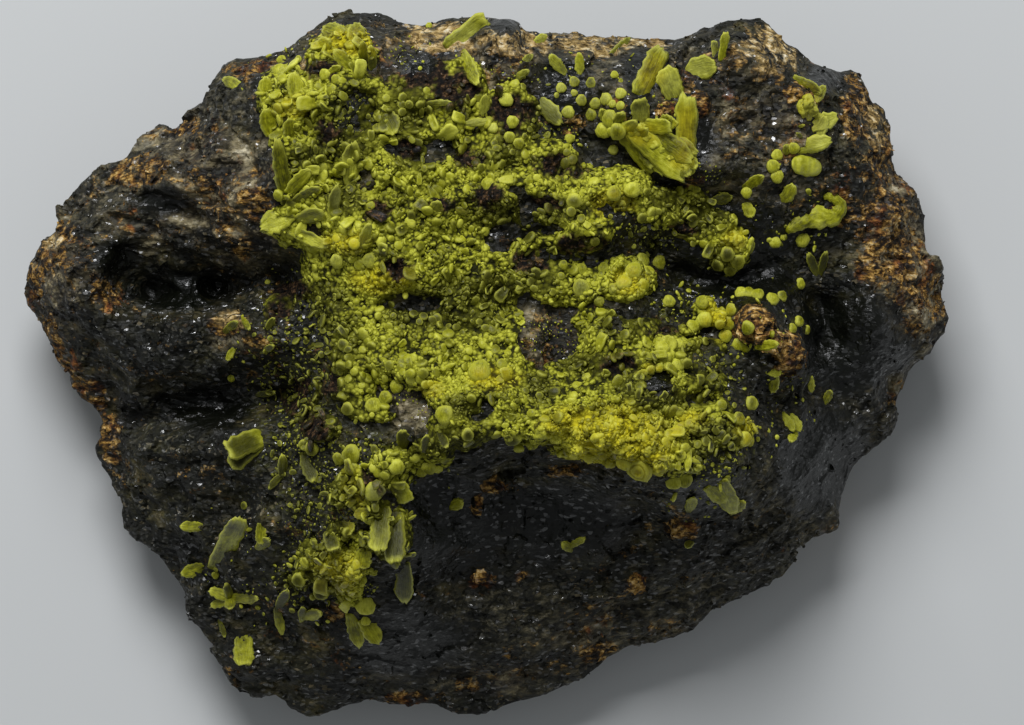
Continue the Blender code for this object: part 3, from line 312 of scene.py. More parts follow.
# %% Rock: even mesh
def evaluated_mesh(model):
    """The mesh that an object's modifiers make, as a plain mesh."""
    graph = bpy.context.evaluated_depsgraph_get()
    return bpy.data.meshes.new_from_object(model.evaluated_get(graph))


def merged_copy(node):
    """A copy of a solid's mesh with its loose triangles joined."""
    bm = bmesh.new()
    bm.from_mesh(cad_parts[node].data)
    bmesh.ops.remove_doubles(bm, verts=bm.verts, dist=1e-7)
    mesh = bpy.data.meshes.new(node)
    bm.to_mesh(mesh)
    bm.free()
    return mesh


def triangles(mesh):
    """How many triangles a mesh has."""
    return sum(len(polygon.vertices) - 2 for polygon in mesh.polygons)


def mesh_arrays(mesh):
    """A mesh's points in mm and its points' normals, as arrays."""
    points = np.empty(len(mesh.vertices) * 3)
    normals = np.empty(len(mesh.vertices) * 3)
    mesh.vertices.foreach_get("co", points)
    mesh.vertices.foreach_get("normal", normals)
    return points.reshape(-1, 3) / MM, normals.reshape(-1, 3)


rock = place("rock_form", merged_copy("rock"))
even = rock.modifiers.new("even mesh", "REMESH")
even.mode = "VOXEL"
even.voxel_size = VOXEL * MM
soften = rock.modifiers.new("soften", "SMOOTH")
soften.factor = 0.5
soften.iterations = SOFTENING
rock_mesh = evaluated_mesh(rock)
bpy.data.objects.remove(rock)
print("even rock mesh:", len(rock_mesh.vertices), "points")


# %% Rock: carve it
def distance_to_run(points, run):
    """Distance of each point, seen from above, to a run of straight pieces."""
    nearest = np.full(len(points), 99.0)
    for start, end in zip(run, run[1:]):
        start, reach = np.array(start), np.subtract(end, start)
        along = np.clip((points[:, :2] - start) @ reach / (reach @ reach), 0.0, 1.0)
        gap = points[:, :2] - start - along[:, None] * reach
        nearest = np.minimum(nearest, np.hypot(gap[:, 0], gap[:, 1]))
    return nearest


points, normals = mesh_arrays(rock_mesh)
height = points[:, 2]
bedding = lumps(points * (0.3, 1.0, 1.0), 0.9, 11.0)
west = ramp(-points[:, 0], 6.0, 10.0)
rough = 1.0 - 0.6 * ramp(cover(points, GLOSS_PATCHES), -0.5, 0.5)
carve = SWELL * lumps(points, 2.2, 1.0) + BREAK * rough * facets(points, 1.25, 3.0)
carve += BED * west * bedding
carve += rough * (STEP * facets(points, 0.52, 5.0) + GRIT * facets(points, 0.27, 7.0))
carve *= 0.5 + 0.5 * ramp(np.abs(normals[:, 2]), 0.05, 0.4)
crumbly = 1.0 + 0.6 * lumps(points, 0.35, 13.0)
carve += KNOB_RISE * ramp(cover(points, RUST_KNOBS), -0.1, 0.8) * crumbly
wander = lumps(points, 1.1, 15.0, 2)
for depth, half_width, run in FURROWS:
    away = distance_to_run(points, run) + FURROW_WANDER * wander
    carve -= FURROW_SHARE * depth * np.exp(-((away / half_width) ** 2)) * np.clip(normals[:, 2], 0.0, 1.0)
underside = ramp(-normals[:, 2], 0.75, 0.95) * (height < 0.6)
free = ramp(height, 0.02, 0.9)
moved = points + normals * (carve * free)[:, None]
hollow = np.clip(lumps(points, 3.0, 21.0) + 0.35, 0.0, 1.0) + 0.25 * (facets(points, 0.9, 23.0) + 0.4)
moved[:, 2] += underside * BASE_LIFT * np.clip(hollow, 0.0, 1.5)
moved[:, 2] = np.maximum(moved[:, 2], 0.0)
rock_mesh.vertices.foreach_set("co", (moved * MM).ravel())
rock_mesh.update()
print("carved; deepest", round(float(carve.min()), 2), "mm, highest", round(float(carve.max()), 2), "mm")

# %% Rock: keep points where the surface turns
rock = place("rock_carved", rock_mesh)
thin = rock.modifiers.new("thin out", "DECIMATE")
thin.ratio = ROCK_TRIANGLES / triangles(rock_mesh)
rock_surface = evaluated_mesh(rock)
bpy.data.objects.remove(rock)
rock_surface.name = "rock_surface"
print("rock:", triangles(rock_surface), "triangles")


# %% Rock: store where each finish lies
def store(mesh, name, values):
    """Keeps one number for each point under a name that materials and node trees can read."""
    attribute = mesh.attributes.get(name) or mesh.attributes.new(name, "FLOAT", "POINT")
    attribute.data.foreach_set("value", np.asarray(values, np.float32))


def stored(mesh, name):
    """The numbers stored under a name, one for each point."""
    values = np.empty(len(mesh.vertices), np.float32)
    mesh.attributes[name].data.foreach_get("value", values)
    return values


def store_rock_finish(mesh):
    """How much of each finish lies at each point. Steep sides and the underside, which the patches
    can't reach from above, get rust and gloss from noise."""
    points, normals = mesh_arrays(mesh)
    ragged = 0.6 * lumps(points, 0.9, 31.0) + 0.35 * lumps(points, 0.35, 33.0)
    side = ramp(-normals[:, 2], -0.45, 0.3)
    ragged = ragged - 2.5 * side
    patchy = 0.9 * lumps(points, 1.6, 39.0)
    stain = lumps(points, 4.2, 35.0)
    haze = ramp(cover(points, HAZE_PATCHES) + ragged, -0.8, 0.9)
    rust = 0.55 * ramp(cover(points, RUST_PATCHES) + ragged, -1.2, 0.7)
    rust = np.maximum(rust, 0.56 * side * ramp(stain + 0.4 * patchy, 0.0, 0.6))
    rust = np.maximum(rust, 0.32 + 0.07 * haze + 0.14 * lumps(points * (0.5, 1.0, 1.0), 1.5, 37.0))
    gloss = ramp(cover(points, GLOSS_PATCHES) + 0.5 * ragged, -0.4, 0.5)
    gloss = np.maximum(gloss, side * ramp(patchy - stain, 0.0, 0.6))
    crumbly = 0.68 * ramp(cover(points, RUST_KNOBS) + 0.7 * ragged, -0.7, 0.3)
    store(mesh, "rust", np.maximum(rust - 0.35 * gloss, crumbly))
    store(mesh, "gloss", gloss)
    store(mesh, "haze", haze)
    store(mesh, "dust", ramp(cover(points, DUST_PATCHES) + ragged, -0.6, 0.8))
    store(mesh, "bleached", ramp(cover(points, BLEACHED_PATCHES) + ragged, -0.8, 0.6))
    store(mesh, "film", ramp(cover(points, FILM_PATCHES) + ragged, -0.9, 0.8))


store_rock_finish(rock_surface)

# %% [markdown]
# ### Pitchblende, broken
# Uraninite in its massive form, pitchblende, breaks with a pitchy lustre between resin and metal.
# The break is nearly black with bluish glints, brown where it has weathered, and each grain throws
# the light its own way: a tilt of the normal for each Voronoi cell does that. Dust, a glossy skin, a
# green film and near-black blotches of painted shade lie over each other like coats of paint, each
# where its stored number or a noise is high. Limonite, an earthy, dull, orange iron rust, comes last,
# in crumbs: it covers more where the share of rust is high, but never as a smooth coat. It is nearly
# white where it has bleached. Grains are 0.1 mm and blotches up to 2.4 mm, as such ore shows under a
# hand lens.

# %% Material: pitchblende, broken, with limonite
GRAIN = 0.1             # mm, the smallest grains that the picture can show
# Colours from the darkest grain to the palest, at levels of a noise.
FRESH = [(0.34, "#070803"), (0.46, "#141508"), (0.55, "#2b2911"), (0.65, "#544c28"), (0.76, "#92865c")]
WEATHERED = [(0.37, "#070603"), (0.46, "#1d1a10"), (0.53, "#4a4230"), (0.60, "#918564"), (0.69, "#d4caac")]
POWDER = [(0.36, "#0c0c06"), (0.51, "#323021"), (0.66, "#716950"), (0.80, "#aca286")]
GREEN_FILM = [(0.40, "#0c0d04"), (0.54, "#2b2c0a"), (0.68, "#696a1b")]
LIMONITE = [
    (0.39, "#0c0804"), (0.46, "#2d1f0d"), (0.52, "#70511f"), (0.58, "#b28a42"), (0.65, "#dabb7c"),
    (0.76, "#efe2c0"),
]
RED_LIMONITE = [
    (0.34, "#140a06"), (0.46, "#402210"), (0.56, "#7a461c"), (0.66, "#a86a30"), (0.78, "#c99a62"),
]
BLEACHED = [(0.36, "#382d1b"), (0.46, "#8c7340"), (0.55, "#c4a86e"), (0.64, "#e2d4ae"), (0.74, "#f6f0de")]


def make_rock_material():
    """Ore in dark grains, then what weathering laid over it, and limonite last."""
    material, tree, shader = new_material("pitchblende_broken_with_limonite", IOR=1.7)
    coordinates = add(tree, "ShaderNodeTexCoord")
    where = add(
        tree, "ShaderNodeVectorMath",
        {0: coordinates.outputs["Object"], "Scale": 1 / MM}, operation="SCALE",
    )
    layered = add(tree, "ShaderNodeMapping", {"Vector": where, "Scale": (0.55, 1.0, 1.0)})
    rust, gloss, dust, film, bleached, haze = (
        add(tree, "ShaderNodeAttribute", attribute_name=name)
        for name in ("rust", "gloss", "dust", "film", "bleached", "haze")
    )
    # Each noise: what it follows, its size in mm, how many finer ones it adds, and how strong they are.
    broad, fine, crumbs, redness, wide = (
        add(
            tree, "ShaderNodeTexNoise",
            {"Vector": at, "Scale": 1 / size, "Detail": finer, "Roughness": strength},
        )
        for at, size, finer, strength in (
            (layered, 1.1, 6.0, 0.68), (layered, 0.28, 4.0, 0.7), (where, 0.55, 5.0, 0.72),
            (where, 1.3, 3.0, 0.6), (where, 2.4, 2.0, 0.55),
        )
    )
    grains = add(tree, "ShaderNodeTexVoronoi", {"Vector": layered, "Scale": 1 / GRAIN, "Randomness": 1.0})
    grain = add(tree, "ShaderNodeSeparateColor", {0: grains.outputs["Color"]})
    ore, weathered = (
        add(tree, "ShaderNodeValToRGB", {"Fac": broad}, stops) for stops in (FRESH, WEATHERED)
    )
    powder, growth, earth, reddened, chalk = (
        add(tree, "ShaderNodeValToRGB", {"Fac": fine}, stops)
        for stops in (POWDER, GREEN_FILM, LIMONITE, RED_LIMONITE, BLEACHED)
    )
    pale = add(
        tree, "ShaderNodeMapRange",
        {"Value": grain.outputs[0], "From Min": 0.84, "From Max": 1.0, "To Max": 1.4},
    )
    pale = add(tree, "ShaderNodeMath", {0: pale, 1: fine}, operation="MULTIPLY")
    grain_hue = add(
        tree, "ShaderNodeMix",
        {"Factor": grain.outputs[1], "A": srgb("#5b5e50"), "B": srgb("#8a7c5c")}, data_type="RGBA",
    )
    filmed = add(tree, "ShaderNodeMath", {0: film, 1: 0.75}, operation="MULTIPLY")
    unweathered = add(tree, "ShaderNodeMapRange", {"Value": haze, "To Min": 0.75, "To Max": 0.0})
    # Near-black blotches from a broad noise, fewer where weathered: painted shade.
    painted_shade_blotches = add(
        tree, "ShaderNodeMapRange",
        {"Value": wide, "From Min": 0.42, "From Max": 0.58, "To Max": unweathered},
    )
    redder = add(tree, "ShaderNodeMapRange", {"Value": redness, "From Min": 0.54, "From Max": 0.66})
    level = add(tree, "ShaderNodeMath", {0: rust, 1: crumbs}, operation="ADD")
    lies = add(tree, "ShaderNodeMapRange", {"Value": level, "From Min": 0.93, "From Max": 1.06})
    for share, colour in (
        (haze, weathered), (pale, grain_hue), (dust, powder), (gloss, srgb("#0b0d07")), (filmed, growth),
        (painted_shade_blotches, srgb("#0a0b05")),
    ):
        ore = add(tree, "ShaderNodeMix", {"Factor": share, "A": ore, "B": colour}, data_type="RGBA")
    for share, colour in ((redder, reddened), (bleached, chalk)):
        earth = add(tree, "ShaderNodeMix", {"Factor": share, "A": earth, "B": colour}, data_type="RGBA")
    stained = add(tree, "ShaderNodeMix", {"Factor": lies, "A": ore, "B": earth}, data_type="RGBA")
    feed(tree, stained, shader.inputs["Base Color"])
    even = add(tree, "ShaderNodeMapRange", {"Value": gloss, "To Min": 0.62, "To Max": 0.3})
    mirrors = add(
        tree, "ShaderNodeMapRange", {"Value": grain.outputs[2], "From Min": 0.87, "From Max": 0.98},
    )
    rough = add(tree, "ShaderNodeMix", {"Factor": mirrors, "A": even, "B": 0.2}, data_type="FLOAT")
    shine = add(tree, "ShaderNodeMapRange", {"Value": mirrors, "To Min": 0.22, "To Max": 1.0})
    feed(tree, shine, shader.inputs["Specular IOR Level"])
    rougher = add(tree, "ShaderNodeMix", {"Factor": lies, "A": rough, "B": 0.92}, data_type="FLOAT")
    feed(tree, rougher, shader.inputs["Roughness"])
    tilt = add(
        tree, "ShaderNodeVectorMath",
        {0: grains.outputs["Color"], 1: (0.5, 0.5, 0.5)}, operation="SUBTRACT",
    )
    calm = add(tree, "ShaderNodeMapRange", {"Value": gloss, "To Min": 1.0, "To Max": 0.25})
    push = add(tree, "ShaderNodeVectorMath", {0: tilt, "Scale": calm}, operation="SCALE")
    pits = add(tree, "ShaderNodeBump", {"Height": fine, "Strength": 0.8, "Distance": 0.09 * MM})
    facing = add(tree, "ShaderNodeVectorMath", {0: pits, 1: push}, operation="ADD")
    unit = add(tree, "ShaderNodeVectorMath", {0: facing}, operation="NORMALIZE")
    feed(tree, unit, shader.inputs["Normal"])
    return material


rock_material = make_rock_material()
rock_surface.materials.clear()
rock_surface.materials.append(rock_material)
rock_piece = place("rock_lump", rock_surface)
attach(rock_piece, "root")
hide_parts("rock")
print("rock dressed")

# %% [markdown]
# ## The crust
# Where crystals crowd, they grow into each other and make a crust half a millimetre thick. It is one
# sheet that starts inside the rock, rises to a lumpy top of rounded heads, and thins out to nothing
# at its ragged edge. It could be sculpted by hand, but its place is known as oval patches, so a fine
# square grid laid over them is dropped on the rock by rays, raised by the crust's thickness there,
# and closed below. Mounds stand up where crystals pile into a ball, and hollows sink to the ore. Past
# the patches it dives under the rock, so its edge follows every grain.

# %% Crust: where it lies, in mm
CRUST_PATCHES = {
    "crust_main": [
        (-7.5, 10.3, 1.2, 1.2), (-5.4, 11.6, 1.4, 1.5), (-5.1, 9.5, 2.1, 1.7), (-7.1, 8.7, 1.1, 0.9),
        (-6, 6.8, 1.9, 1.7), (-7.1, 5.4, 1.2, 0.9), (-2.7, 9.7, 1.6, 1.5), (-1, 10.5, 1.2, 1.3),
        (-2.1, 7.8, 2.3, 1.7), (-3.2, 5.4, 2.7, 1.9), (-5.4, 4, 1.6, 1.4), (-0.7, 5.6, 2.2, 1.6),
        (0.8, 7.8, 1.7, 1), (2.4, 7.8, 1.3, 0.9), (1, 9.5, 1.2, 1.3), (3.5, 6.8, 1.8, 0.9),
        (5.4, 6.8, 1.1, 0.9), (3.4, 5.2, 1.6, 1), (0.8, 4, 1.7, 1.6), (-1.3, 2.9, 2.3, 1.8),
        (-4.2, 2.1, 2.2, 1.8), (-5.4, 0.4, 1.2, 1.4), (-2.5, 0.6, 2.2, 1.6), (-0.1, -0.7, 2.3, 1.4),
        (-0.1, 1.4, 1.8, 1.7), (3.2, 3.1, 1.4, 0.9), (5.4, 3.3, 1.2, 0.9), (4.3, 1, 1.4, 1.2),
        (6.1, 0.7, 1.6, 1.1), (4.5, -0.8, 3, 1.3), (2.4, -2.1, 2.2, 0.9), (4.5, -2.8, 2.2, 0.9),
        (6.5, -2.9, 1.7, 1.2), (8, -2.1, 1.6, 1.3), (9.5, -2.6, 0.9, 0.7), (7.2, -3.8, 1.2, 0.5),
        (-0.8, -2.4, 1.4, 0.8), (-2, -3.4, 0.9, 0.7), (-4.3, -1.7, 1.2, 0.5), (-5.1, -0.9, 0.9, 0.8),
        (-6.3, -0.7, 0.6, 1), (7.3, 6.1, 1.5, 0.8), (8.6, 5.3, 1.2, 0.7), (9.4, 4.5, 0.9, 0.9),
        (8, -0.6, 1.3, 0.9), (8.4, 0.6, 0.9, 0.5), (-7.2, 2.2, 1.2, 1), (-7.1, 0.6, 1.1, 1.2),
        (-6.9, -1, 1, 1.1), (-6.2, -2.4, 0.8, 0.6),
    ],
    "crust_lower_left": [
        (-5, -4.4, 0.6, 0.6), (-5.4, -4.9, 0.7, 0.5), (-3.5, -4, 0.9, 1), (-4.1, -5.2, 1, 0.9),
        (-3.5, -6.5, 0.8, 1.2), (-5.6, -7.8, 1.1, 1.2), (-6.7, -7.3, 0.5, 0.6), (-5.1, -8.8, 0.5, 0.5),
        (-7.1, -8.3, 0.5, 0.4), (-4.6, -6.8, 0.5, 0.5), (-5.6, -6.6, 0.5, 0.6),
    ],
    "crust_knob_left": [
        (8.5, 2.1, 0.5, 0.6), (9, 1.8, 0.4, 0.4), (7.9, 1.4, 0.5, 0.3),
    ],
}
# Bare knobs inside the crust, in the same terms.
CRUST_HOLES = [
    (2.5, 1, 1.2, 0.9), (6.7, -0.7, 0.5, 0.5), (-2.9, -1.5, 0.8, 0.4),
]
# Mounds on the crust, where crystals pile up in a ball: x, y, radius.
CRUST_MOUNDS = [
    (-1.77, -1.05, 0.54), (1.11, -2.75, 0.4), (4.13, -2.33, 0.5), (4.71, -2.75, 0.5), (6.46, -2.91, 0.5),
    (6.07, -2.33, 0.5), (2.97, -1.82, 0.45), (8.01, -2.33, 0.4), (8.98, -2.13, 0.35), (9.25, 4.97, 0.45),
    (9.6, -2.83, 0.35), (9.45, -0.27, 0.3), (8.86, -0.78, 0.35), (6.1, 3.4, 0.6), (5.5, 2.9, 0.5),
    (4.7, 6.7, 0.6), (5.5, 6.9, 0.5), (-5.1, 4.46, 0.4), (-4.9, -8.0, 0.6), (-5.7, -7.7, 0.5),
    (-4.6, -7.4, 0.45), (-6.8, 10.1, 0.6), (-7.3, 9.4, 0.45), (-3.63, -3.7, 0.5), (3.6, -3.1, 0.5),
    (2.2, -2.6, 0.5), (5.3, -3.3, 0.6), (6.7, -3.6, 0.45), (-3.3, 3.4, 0.6), (3.94, -1.67, 0.38),
    (5.3, -1.94, 0.38), (-5.37, -7.56, 0.3), (-5.1, -8.15, 0.3), (-2.4, -0.5, 0.6), (-0.6, -1.4, 0.6),
    (0.9, -1.3, 0.5),
]
# Knobs of grown-together grains, along the ledge and beside it, in the same terms.
KNOBS = [
    (0.14, -2.25, 0.22), (0.94, -2.64, 0.25), (1.34, -2.95, 0.22), (1.83, -3.04, 0.22), (2.81, -2.75, 0.25),
    (3.06, -3.34, 0.24), (3.61, -3.14, 0.28), (4.09, -3.45, 0.25), (4.79, -3.65, 0.26), (5.29, -3.14, 0.28),
    (5.44, -3.72, 0.27), (6.9, -2.3, 0.24), (7.3, -3.1, 0.25), (6.8, 0.8, 0.34), (6.15, 0.36, 0.32),
    (7.45, 0.03, 0.36), (6.85, 0.25, 0.3), (2.2, -2.6, 0.27), (3.6, -2.5, 0.3), (4.4, -2.8, 0.32),
    (4.9, -2.3, 0.3), (6.3, -3.2, 0.3), (6.7, -3.8, 0.3), (5.9, -2.6, 0.27), (8, -2.4, 0.24),
    (9, -2.2, 0.2), (5.6, 3.3, 0.25), (5.1, 2.9, 0.22), (6, 2.8, 0.2), (4.7, 6.5, 0.25), (5.2, 6.2, 0.22),
    (-1.7, -0.9, 0.28), (-1.3, -1.3, 0.22), (-5, -8, 0.3), (5.88, 9.0, 0.17), (6.26, 8.73, 0.15),
    (6.54, 8.46, 0.16), (6.85, 8.26, 0.15), (5.6, 9.2, 0.18), (7.16, 7.95, 0.14), (8.0, 7.95, 0.18),
    (7.74, 7.64, 0.2), (6.1, 9.2, 0.14), (7.9, 7.4, 0.15), (12.45, 10.15, 0.22), (12.65, 9.85, 0.25),
    (12.82, 9.6, 0.2), (12.25, 9.85, 0.2), (11.55, 4.95, 0.14), (-5.6, -7.7, 0.2), (-4.6, -7.5, 0.2),
    (-5.3, -8.5, 0.2), (-5.2, -7.4, 0.18), (-4.7, -8.3, 0.19), (-4.3, -7.9, 0.18), (-7.4, 9.8, 0.24),
    (9.7, 4.9, 0.26),
]
CRUST_CELL = 0.115      # mm between the crust's points
GRID_MARGIN = 0.5       # mm of grid past the patches
CRUST_DEPTH = 0.8       # how far down it starts below the rock's surface
HEAD = 0.38             # mm across its rounded heads
EDGE_RISE = 0.08        # mm that it stands above the rock at its edge
FULL_RISE = 0.34        # and how much more in its middle
DIVE = 1.4              # mm that it goes down for each share below 0
DIVE_TO = -0.35         # the share at which it ends, under the rock
HEAD_RELIEF = 0.19      # mm
SWELL_RELIEF = 0.3
HOLLOW_DEPTH = 0.5
MOUND_HEIGHT = 0.75     # in radii
# Places where the crust is thin and the ore shows through it.
BARE_PATCHES = [
    (-2.5, 11.3, 1.6, 0.8), (-1.1, 10.5, 1.0, 0.9), (0.9, 9.6, 1.0, 0.9), (3.0, 7.6, 1.2, 0.5),
    (0.2, 6.5, 0.6, 0.5), (-3.4, 3.7, 0.6, 0.45), (-0.6, 7.9, 0.7, 0.4), (3.8, 4.6, 1.1, 0.4),
    (2.2, 6.2, 0.8, 0.3), (-3.0, 8.2, 0.6, 0.4), (-6.0, 8.9, 0.5, 0.5), (7.6, 5.2, 0.8, 0.3),
    (1.9, 3.9, 0.8, 0.4), (5.3, 0.0, 0.7, 0.4), (-4.0, 5.9, 0.5, 0.4), (-7.9, 1.6, 0.7, 1.2),
    (-7.4, -0.6, 1, 1.6), (-6.6, -2.4, 0.8, 0.6), (-7.5, 3, 0.8, 0.5), (-5.9, -0.9, 0.4, 0.7),
    (-6.2, 11.3, 0.8, 0.4), (-1.5, 6.1, 0.5, 0.3), (6.8, 1.3, 0.7, 0.3), (-5.3, -3.0, 0.8, 0.3),
    (-4.3, -4.4, 0.4, 0.5),
]


# %% Crust: ground to grow on
def ground_tree(meshes):
    """The faces of these meshes in mm, ready to be hit by rays."""
    corners, faces = [], []
    for mesh in meshes:
        start = len(corners)
        corners += [vertex.co / MM for vertex in mesh.vertices]
        faces += [[start + i for i in polygon.vertices] for polygon in mesh.polygons]
    return BVHTree.FromPolygons(corners, faces)


def ground_height(tree, x, y):
    """Height in mm of the highest surface at a place."""
    hit = tree.ray_cast(Vector((x, y, 60.0)), Vector((0.0, 0.0, -1.0)))[0]
    return hit.z if hit else 0.0


# %% Growth: its tints, and where small crystals crowd, in mm
YELLOW_AND_HIGHLIGHT_PATCHES = [        # yellow, brightened as a painted highlight
    (5.3, -2.8, 2.7, 1.5), (3.5, -2.3, 1.4, 0.8), (6.1, -3.8, 1, 0.9), (-7.3, 9.9, 0.8, 0.5),
    (-5.8, -8.1, 1.2, 1.1), (4.9, 6.2, 0.9, 0.6), (-2, -0.9, 0.6, 0.4), (0.4, -0.5, 1.1, 0.5),
    (-3.9, 3.3, 1.4, 0.6), (6.1, 8.9, 0.9, 0.5), (7.6, 7.9, 0.5, 0.5), (12.5, 9.8, 0.6, 1.2),
    (9.6, 4.8, 0.6, 0.5), (6.5, -0.2, 0.6, 0.3), (8, -2.3, 0.7, 0.6), (9, 1.7, 0.7, 0.9),
    (-5.2, 4.7, 1, 0.5), (5.6, 3.2, 0.8, 0.6), (-5.2, -5.2, 0.7, 1.5), (10, -2.5, 0.6, 0.8),
    (-5, 12.4, 1.6, 0.6), (7.8, 9, 0.5, 1.3), (6.4, 11.2, 0.7, 0.9),
]
OLIVE_AND_SHADE_PATCHES = [       # dark olive, darkened further as painted shade
    (13, 3.9, 0.6, 0.6), (-4.8, 9.3, 1.2, 1.5), (-6.3, 2.5, 1.3, 0.7), (-2.3, 2.1, 1.7, 0.8),
    (-0.1, 2.9, 1.9, 0.7), (-7.1, -0.8, 2, 2.6), (-5.8, 0.8, 1.2, 1.1), (1.2, 5.7, 1.7, 0.7),
    (6.1, -0.8, 1.2, 0.6), (4.1, 0, 1.2, 0.5), (3, 6, 1.2, 0.5), (-3.3, -7.6, 0.9, 1.7),
    (-6, -1.8, 1.3, 1.1), (-2.9, 9.9, 0.9, 1.2), (2.4, 9.5, 0.9, 0.9), (8.4, 5.8, 1.2, 0.8),
    (9.2, 3.9, 0.8, 0.7), (6.8, -1.4, 1.2, 0.5), (-9.1, -4.5, 1.6, 1.6), (-6.7, 8, 0.9, 0.5),
    (-6.6, -5.2, 1.8, 2.2), (-7.2, -8.8, 1.8, 1), (-7.4, 1.4, 1.4, 2), (8.5, 0, 0.9, 1.1),
    (8.8, -2.9, 1.1, 0.8), (-1.7, -2.9, 2.5, 0.6), (-3.8, -5.5, 0.7, 1.3), (5.3, 1.6, 0.9, 0.7),
    (6.9, 6.3, 0.7, 0.6), (0.7, 8, 0.8, 0.7), (2.2, 3.3, 0.8, 0.6), (2.1, -0.9, 0.6, 0.7),
    (-9.3, -3.1, 0.8, 0.6), (-0.9, -1.6, 0.7, 0.5), (-0.5, 1.8, 1.4, 0.6), (-2.5, 8, 0.8, 0.6),
    (-5.3, 6.3, 0.8, 0.6),
]
PALE_PATCHES = [        # milky
    (-4.9, 4.2, 2.1, 0.7), (-2.5, 6.8, 2.1, 1.2), (-0.5, 9.1, 1.7, 1.7), (-0.8, 4, 1.3, 0.6),
    (4.1, 2.8, 1.7, 0.8), (3, 10.5, 2.3, 1.3), (4.5, 8, 1.2, 0.8), (-3.2, 5.4, 1.9, 0.8),
    (-5.4, 7, 0.5, 1.3), (6.1, 4.8, 1.2, 0.8), (7.2, 10.8, 0.6, 0.7), (8.3, 11.4, 0.8, 0.5),
    (4.4, 10.3, 1.3, 0.9), (-4.2, -4.9, 0.5, 0.5), (12.9, 9.3, 0.9, 1.2), (5.9, 9.6, 0.6, 0.6),
    (-0.8, 12.6, 1, 0.8),
]
BUTTON_PATCHES = [      # small buttons
    (-0.5, 11.2, 1.9, 1.6), (-0.9, 8.7, 1.9, 1.6), (0.6, 9.5, 1.6, 1.6), (3.4, 10.3, 2.3, 1.4),
    (4.5, 8.3, 1.6, 1.2), (2.4, 7.8, 1.6, 0.9), (3.4, 4, 2.3, 1.2), (6.1, 4.2, 1.2, 0.8),
    (-7.1, 10.9, 1.6, 1.3), (-5.2, -2.1, 2.7, 1.6), (-4.8, -3.5, 1.6, 1.2), (-2.5, 1.4, 2.3, 1.2),
    (8.4, 1.7, 1.2, 1.6), (6.8, 2.5, 0.9, 0.6), (9.6, 4.5, 1.6, 1.6), (0.6, 8.3, 1.2, 1.2),
    (-6.7, 6.4, 1.2, 1.2), (-4, -0.6, 1.9, 1.6),
]
TAB_PATCHES = [         # small tabs
    (-6.7, 10.5, 2.3, 1.9), (-5.2, 11.8, 1.9, 1.3), (-5.6, 7, 2.3, 1.6), (-7.1, 5.8, 1.9, 0.9),
    (-2.9, 8.3, 1.7, 1.9), (-0.9, 9.9, 1.7, 1.7), (-6, 1.4, 1, 1.2), (-6.6, -1.8, 1, 1),
    (-5.2, -4.5, 2.3, 2.3), (4.5, 1, 1.9, 1.6), (6.5, 0.4, 1.6, 0.9), (8.4, -2.5, 2.3, 1.9),
    (0.6, 2.5, 2.3, 1.2), (-2.5, 4.5, 1.9, 1.2), (3, 5.2, 1.9, 0.9), (8.4, 5.2, 1.9, 1.6),
    (-6.7, -8.1, 1.9, 1.9), (-3.6, -6, 0.9, 1.9),
]
BEAD_PATCHES = [        # beads
    (-2.1, 6.8, 2.7, 1.7), (-3.4, 3.7, 2.7, 1.6), (4.9, 6.8, 1.7, 1.3), (5.3, 3.3, 1.9, 1),
    (-0.5, -0.6, 4.3, 1.6), (4.5, -2.5, 3.5, 1.6), (3, 1.4, 1.6, 1.2), (-5.6, 4.8, 1.9, 0.9),
    (0.6, 6.4, 2.3, 1.6), (-5.4, -8.1, 1.3, 1.6), (-4.8, 2.1, 1.9, 1.6), (7.6, -2.9, 1.6, 1.3),
    (9.4, 4.1, 0.9, 0.9), (-6.3, 2.5, 1.2, 0.9),
]
SPRINKLE_PATCHES = [    # grains on bare rock
    (-7.1, 11.8, 2.3, 1.6), (-2.5, 11.8, 2.3, 1.6), (-0.9, 10.3, 2.3, 1.9), (3, 10.7, 3.1, 1.9),
    (8.4, 5.2, 3.5, 2.3), (10, 1.7, 2.3, 2.3), (-7.1, 1, 3.1, 3.5), (8.4, -2.5, 3.5, 2.7),
    (-6, -4.5, 3.5, 3.5), (-7.1, -7.6, 4.3, 3.5), (5.3, 4.8, 3.1, 2.3), (12.3, 9.1, 1.2, 2.3),
    (12.3, 5.6, 1.9, 1.6), (-9.1, 1, 1.6, 1.6), (6.1, 9.9, 2.3, 1.9), (11.5, -1.4, 1.9, 2.3),
    (7.6, -5.2, 1.9, 1.6), (-2.1, -3.7, 1.9, 1.6),
]
FLECK_PATCHES = [       # pale flecks
    (6.1, 6.4, 1.2, 0.7), (8.4, 7.5, 0.9, 0.5), (0.4, 6.6, 0.5, 0.4), (-3, -1.2, 0.7, 0.5),
    (-2.3, -1.8, 0.5, 0.4), (2.5, 1.2, 1.2, 0.9), (3.5, 0.5, 0.9, 0.5), (-2.3, 4.2, 1, 0.6),
    (-3.2, 4.3, 0.8, 0.5), (-6, -4.3, 0.8, 0.6), (-5.4, -6, 0.8, 0.6), (-7.1, -6, 0.6, 0.8),
    (-4.6, -8.7, 0.6, 0.5), (-1.5, 10.5, 0.8, 0.6), (-3.2, 11.8, 0.8, 0.5), (0.6, 11.2, 0.9, 0.4),
    (-0.3, 8.3, 0.9, 0.4),
]
